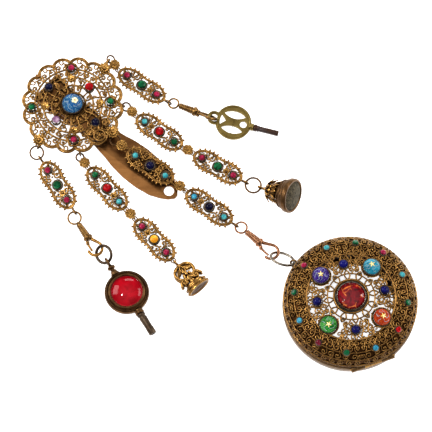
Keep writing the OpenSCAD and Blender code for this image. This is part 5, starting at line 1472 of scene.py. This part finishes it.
def build_lid_openwork():
    """The see-through middle: spokes, hoops and blossoms of granules."""
    net = Net()
    for i in range(12):
        a = GEM_AXIS + 15 + 30 * i
        half = [(7.0 * math.sin(math.pi * t), 7.5 + 4.6 * t) for t in np.linspace(0, 1, 7)]
        lid_wire(net, [(a + x, s) for x, s in half] + [(a - x, s) for x, s in half[::-1]], 0.19, 0.0)
        for w in (-1, 1):
            lid_scroll(net, a + w * 9.5, 13.3, 1.0, w, 180 + 20 * w, 1.3, 0.17, 0.8, -0.05)
        if i % 3 != 1:
            F = on_lid(a, 10.9, 0.05)
            for j in range(6):
                net.dot(0.34, F, polar(60 * j, 0.68), 2, 8)
            net.dot(0.42, F, (0, 0, 0.2), 2, 8)
    for i in range(24):
        a = GEM_AXIS + 7.5 + 15 * i
        flat = [(a + 2.6 * math.sin(2 * math.pi * t), 13.8 + 5.6 * t) for t in np.linspace(0, 1, 8)]
        lid_wire(net, flat, 0.17, -0.05)
        net.dot(0.4, case_frame, lid_point(a, 18.6, 0.1)[0], 2, 8)
        net.dot(0.3, case_frame, lid_point(a + 3.5, 15.6, 0.05)[0], 2, 8)
    make("LidOpenwork", net, [gilt_pale, gilt_bright, dark_silver], body="lid")


def build_lid_settings():
    net = Net()
    collet(net, on_lid(0, 0, -1.0), 6.3, 2.35, 36, 0.6, 0.45, 0.45, 2)
    bead_ring(net, 7.0, 80, 0.15, 0.26, 0.6, on_lid(0, 0), 2)
    for a, _, _ in FLOWER_STONES:
        F = on_lid(a, FLOWER_S, -1.0)
        collet(net, F, 3.82, 1.95, 26, 0.5, 0.36, 0.34, 2)
        twist(net, ring_path(4.45, 60, 1.05), 0.28, 0.9, F, 1)
    for a in DARK_STONES:
        F = on_lid(a, DARK_S, -1.0)
        collet(net, F, 2.0, 1.7, 14, 0.4, 0.32, 0.3, 2)
        bead_ring(net, 2.55, 30, 1.05, 0.2, 0.46, F, 1)
    for i in range(12):
        F = on_lid(24.6 + 30 * i, SHOULDER_S, -1.0)
        collet(net, F, 1.36, 1.75, 10, 0.36, 0.3, 0.24, 2)
        bead_ring(net, 1.85, 22, 1.1, 0.18, 0.42, F, 1)
    make("LidSettings", net, [gilt_pale, gilt_bright, dark_silver], body="lid")


def build_lid_stones():
    net = Net()
    net.add(faceted_dome(6.2, 16), on_lid(0, 0, 0.35))
    make("LidCentreStone", net, [red_foil], ["lid_centre_stone"], "lid")
    for k, (a, shade, at) in enumerate(FLOWER_STONES):
        painted_cabochon("LidCabochon_%d" % (k + 1), "LidPaintedFlower_%d" % (k + 1),
                         on_lid(a, FLOWER_S, 0.3), (3.68, 0.62, 0.35), 44, shade,
                         [] if k else ["lid_flower_stones"], "lid", at, 1.25, paint_yellow, paint_cream,
                         20 + 31 * k, True)
    net = Net()
    for a in DARK_STONES:
        net.add(cab_gem(1.88, 0.75, 0.35, 30), on_lid(a, DARK_S, 0.3))
    make("LidDarkCabochons", net, [royal], ["lid_dark_stones"], "lid")
    stone_set("LidShoulderStones_", "lid", "lid_shoulder_stones", [
        (shade, cab_gem(1.29, 0.75, 0.35, 24) if shade in (turquoise, blue_turquoise) else cut_gem(1.28),
         on_lid(144.6 - 30 * i, SHOULDER_S, 0.3)) for i, shade in enumerate(SHOULDER_STONES)])


build_key_a()
build_key_e()
build_seal_b()
build_seal_d()
hinge_frame = case_frame @ around(HINGE, CASE_R - 1.3, SEAM) @ turn("z", HINGE) @ turn("x", -90)
build_case_back(hinge_frame)
build_bow_ring()
build_lid_sheet(hinge_frame)
build_lid_scrollwork()
build_lid_openwork()
build_lid_settings()
build_lid_stones()


# Floor, light and camera

ELEVATION, DISTANCE = 73.0, 1.08


def backdrop():
    s = Shader("paper_floor")
    tone = s.ramp(s.noise(2.2, 2.0, 0.5), [(0.3, (0.93, 0.93, 0.93)), (0.7, (0.96, 0.96, 0.96))])
    material = s.surface(Base_Color=tone, Roughness=0.8, Specular_IOR_Level=0.2, Emission_Color=tone,
                         Emission_Strength=0.8)
    n, half, z = 25, 1.6, -0.00005
    x, y = np.meshgrid(np.linspace(-half, half, n), np.linspace(-half, half, n))
    i, j = np.meshgrid(np.arange(n - 1), np.arange(n - 1))
    a = (j * n + i).ravel()
    mesh = bpy.data.meshes.new("PaperFloor")
    mesh.from_pydata(np.stack([x.ravel(), y.ravel(), np.full(n * n, z)], 1).tolist(), [],
                     np.stack([a, a + 1, a + n + 1, a + n], 1).tolist())
    mesh.materials.append(material)
    show("PaperFloor", mesh)


def place(thing, m):
    thing.matrix_world = Matrix([list(map(float, row)) for row in m])


def softbox(name, at, size, power, shade=(1.0, 1.0, 1.0)):
    light = bpy.data.lights.new(name, "AREA")
    light.shape = "RECTANGLE"
    light.size, light.size_y = size
    light.energy = power
    light.color = shade
    place(show(name, light), frame_on(at, at))


backdrop()
softbox("KeyBox", (-0.62, 0.22, 0.50), (0.30, 0.5), 3.4, (1.0, 0.99, 0.97))
softbox("FillBox", (0.68, 0.12, 0.48), (0.25, 0.45), 2.5)
softbox("SparkLeft", (-0.34, -0.10, 0.80), (0.07, 0.07), 1.5)
softbox("BackBox", (0.05, 0.85, 0.42), (0.5, 0.2), 2.0)

world = bpy.data.worlds.new("Studio")
bpy.context.scene.world = world
world.use_nodes = True
sky = world.node_tree
background = sky.nodes["Background"]
background.inputs[1].default_value = 1.0
coords = sky.nodes.new("ShaderNodeTexCoord")
split = sky.nodes.new("ShaderNodeSeparateXYZ")
shade = sky.nodes.new("ShaderNodeValToRGB")
sky.links.new(coords.outputs["Generated"], split.inputs[0])
sky.links.new(split.outputs[2], shade.inputs[0])
sky.links.new(shade.outputs[0], background.inputs[0])
stops = shade.color_ramp.elements
for element, (at, v) in zip([stops[0], stops[1], stops.new(0.6)], [(0.1, 0.45), (0.92, 0.04), (0.6, 0.2)]):
    element.position = at
    element.color = (v, v, v, 1.0)

camera_data = bpy.data.cameras.new("Camera")
camera_data.lens = 200.0
camera_data.sensor_width = 36.0
camera_data.clip_start = 0.05
camera_data.clip_end = 10.0
camera = show("Camera", camera_data)
el = math.radians(ELEVATION)
target = np.array([-0.00035, -0.00045, 0.0])
back = np.array([0.0, -math.cos(el), math.sin(el)])
place(camera, axes_at((1, 0, 0), (0, math.sin(el), math.cos(el)), back, target + back * DISTANCE))
bpy.context.scene.camera = camera
bpy.context.scene.view_settings.view_transform = "Standard"
bpy.context.scene.view_settings.look = "Medium High Contrast"
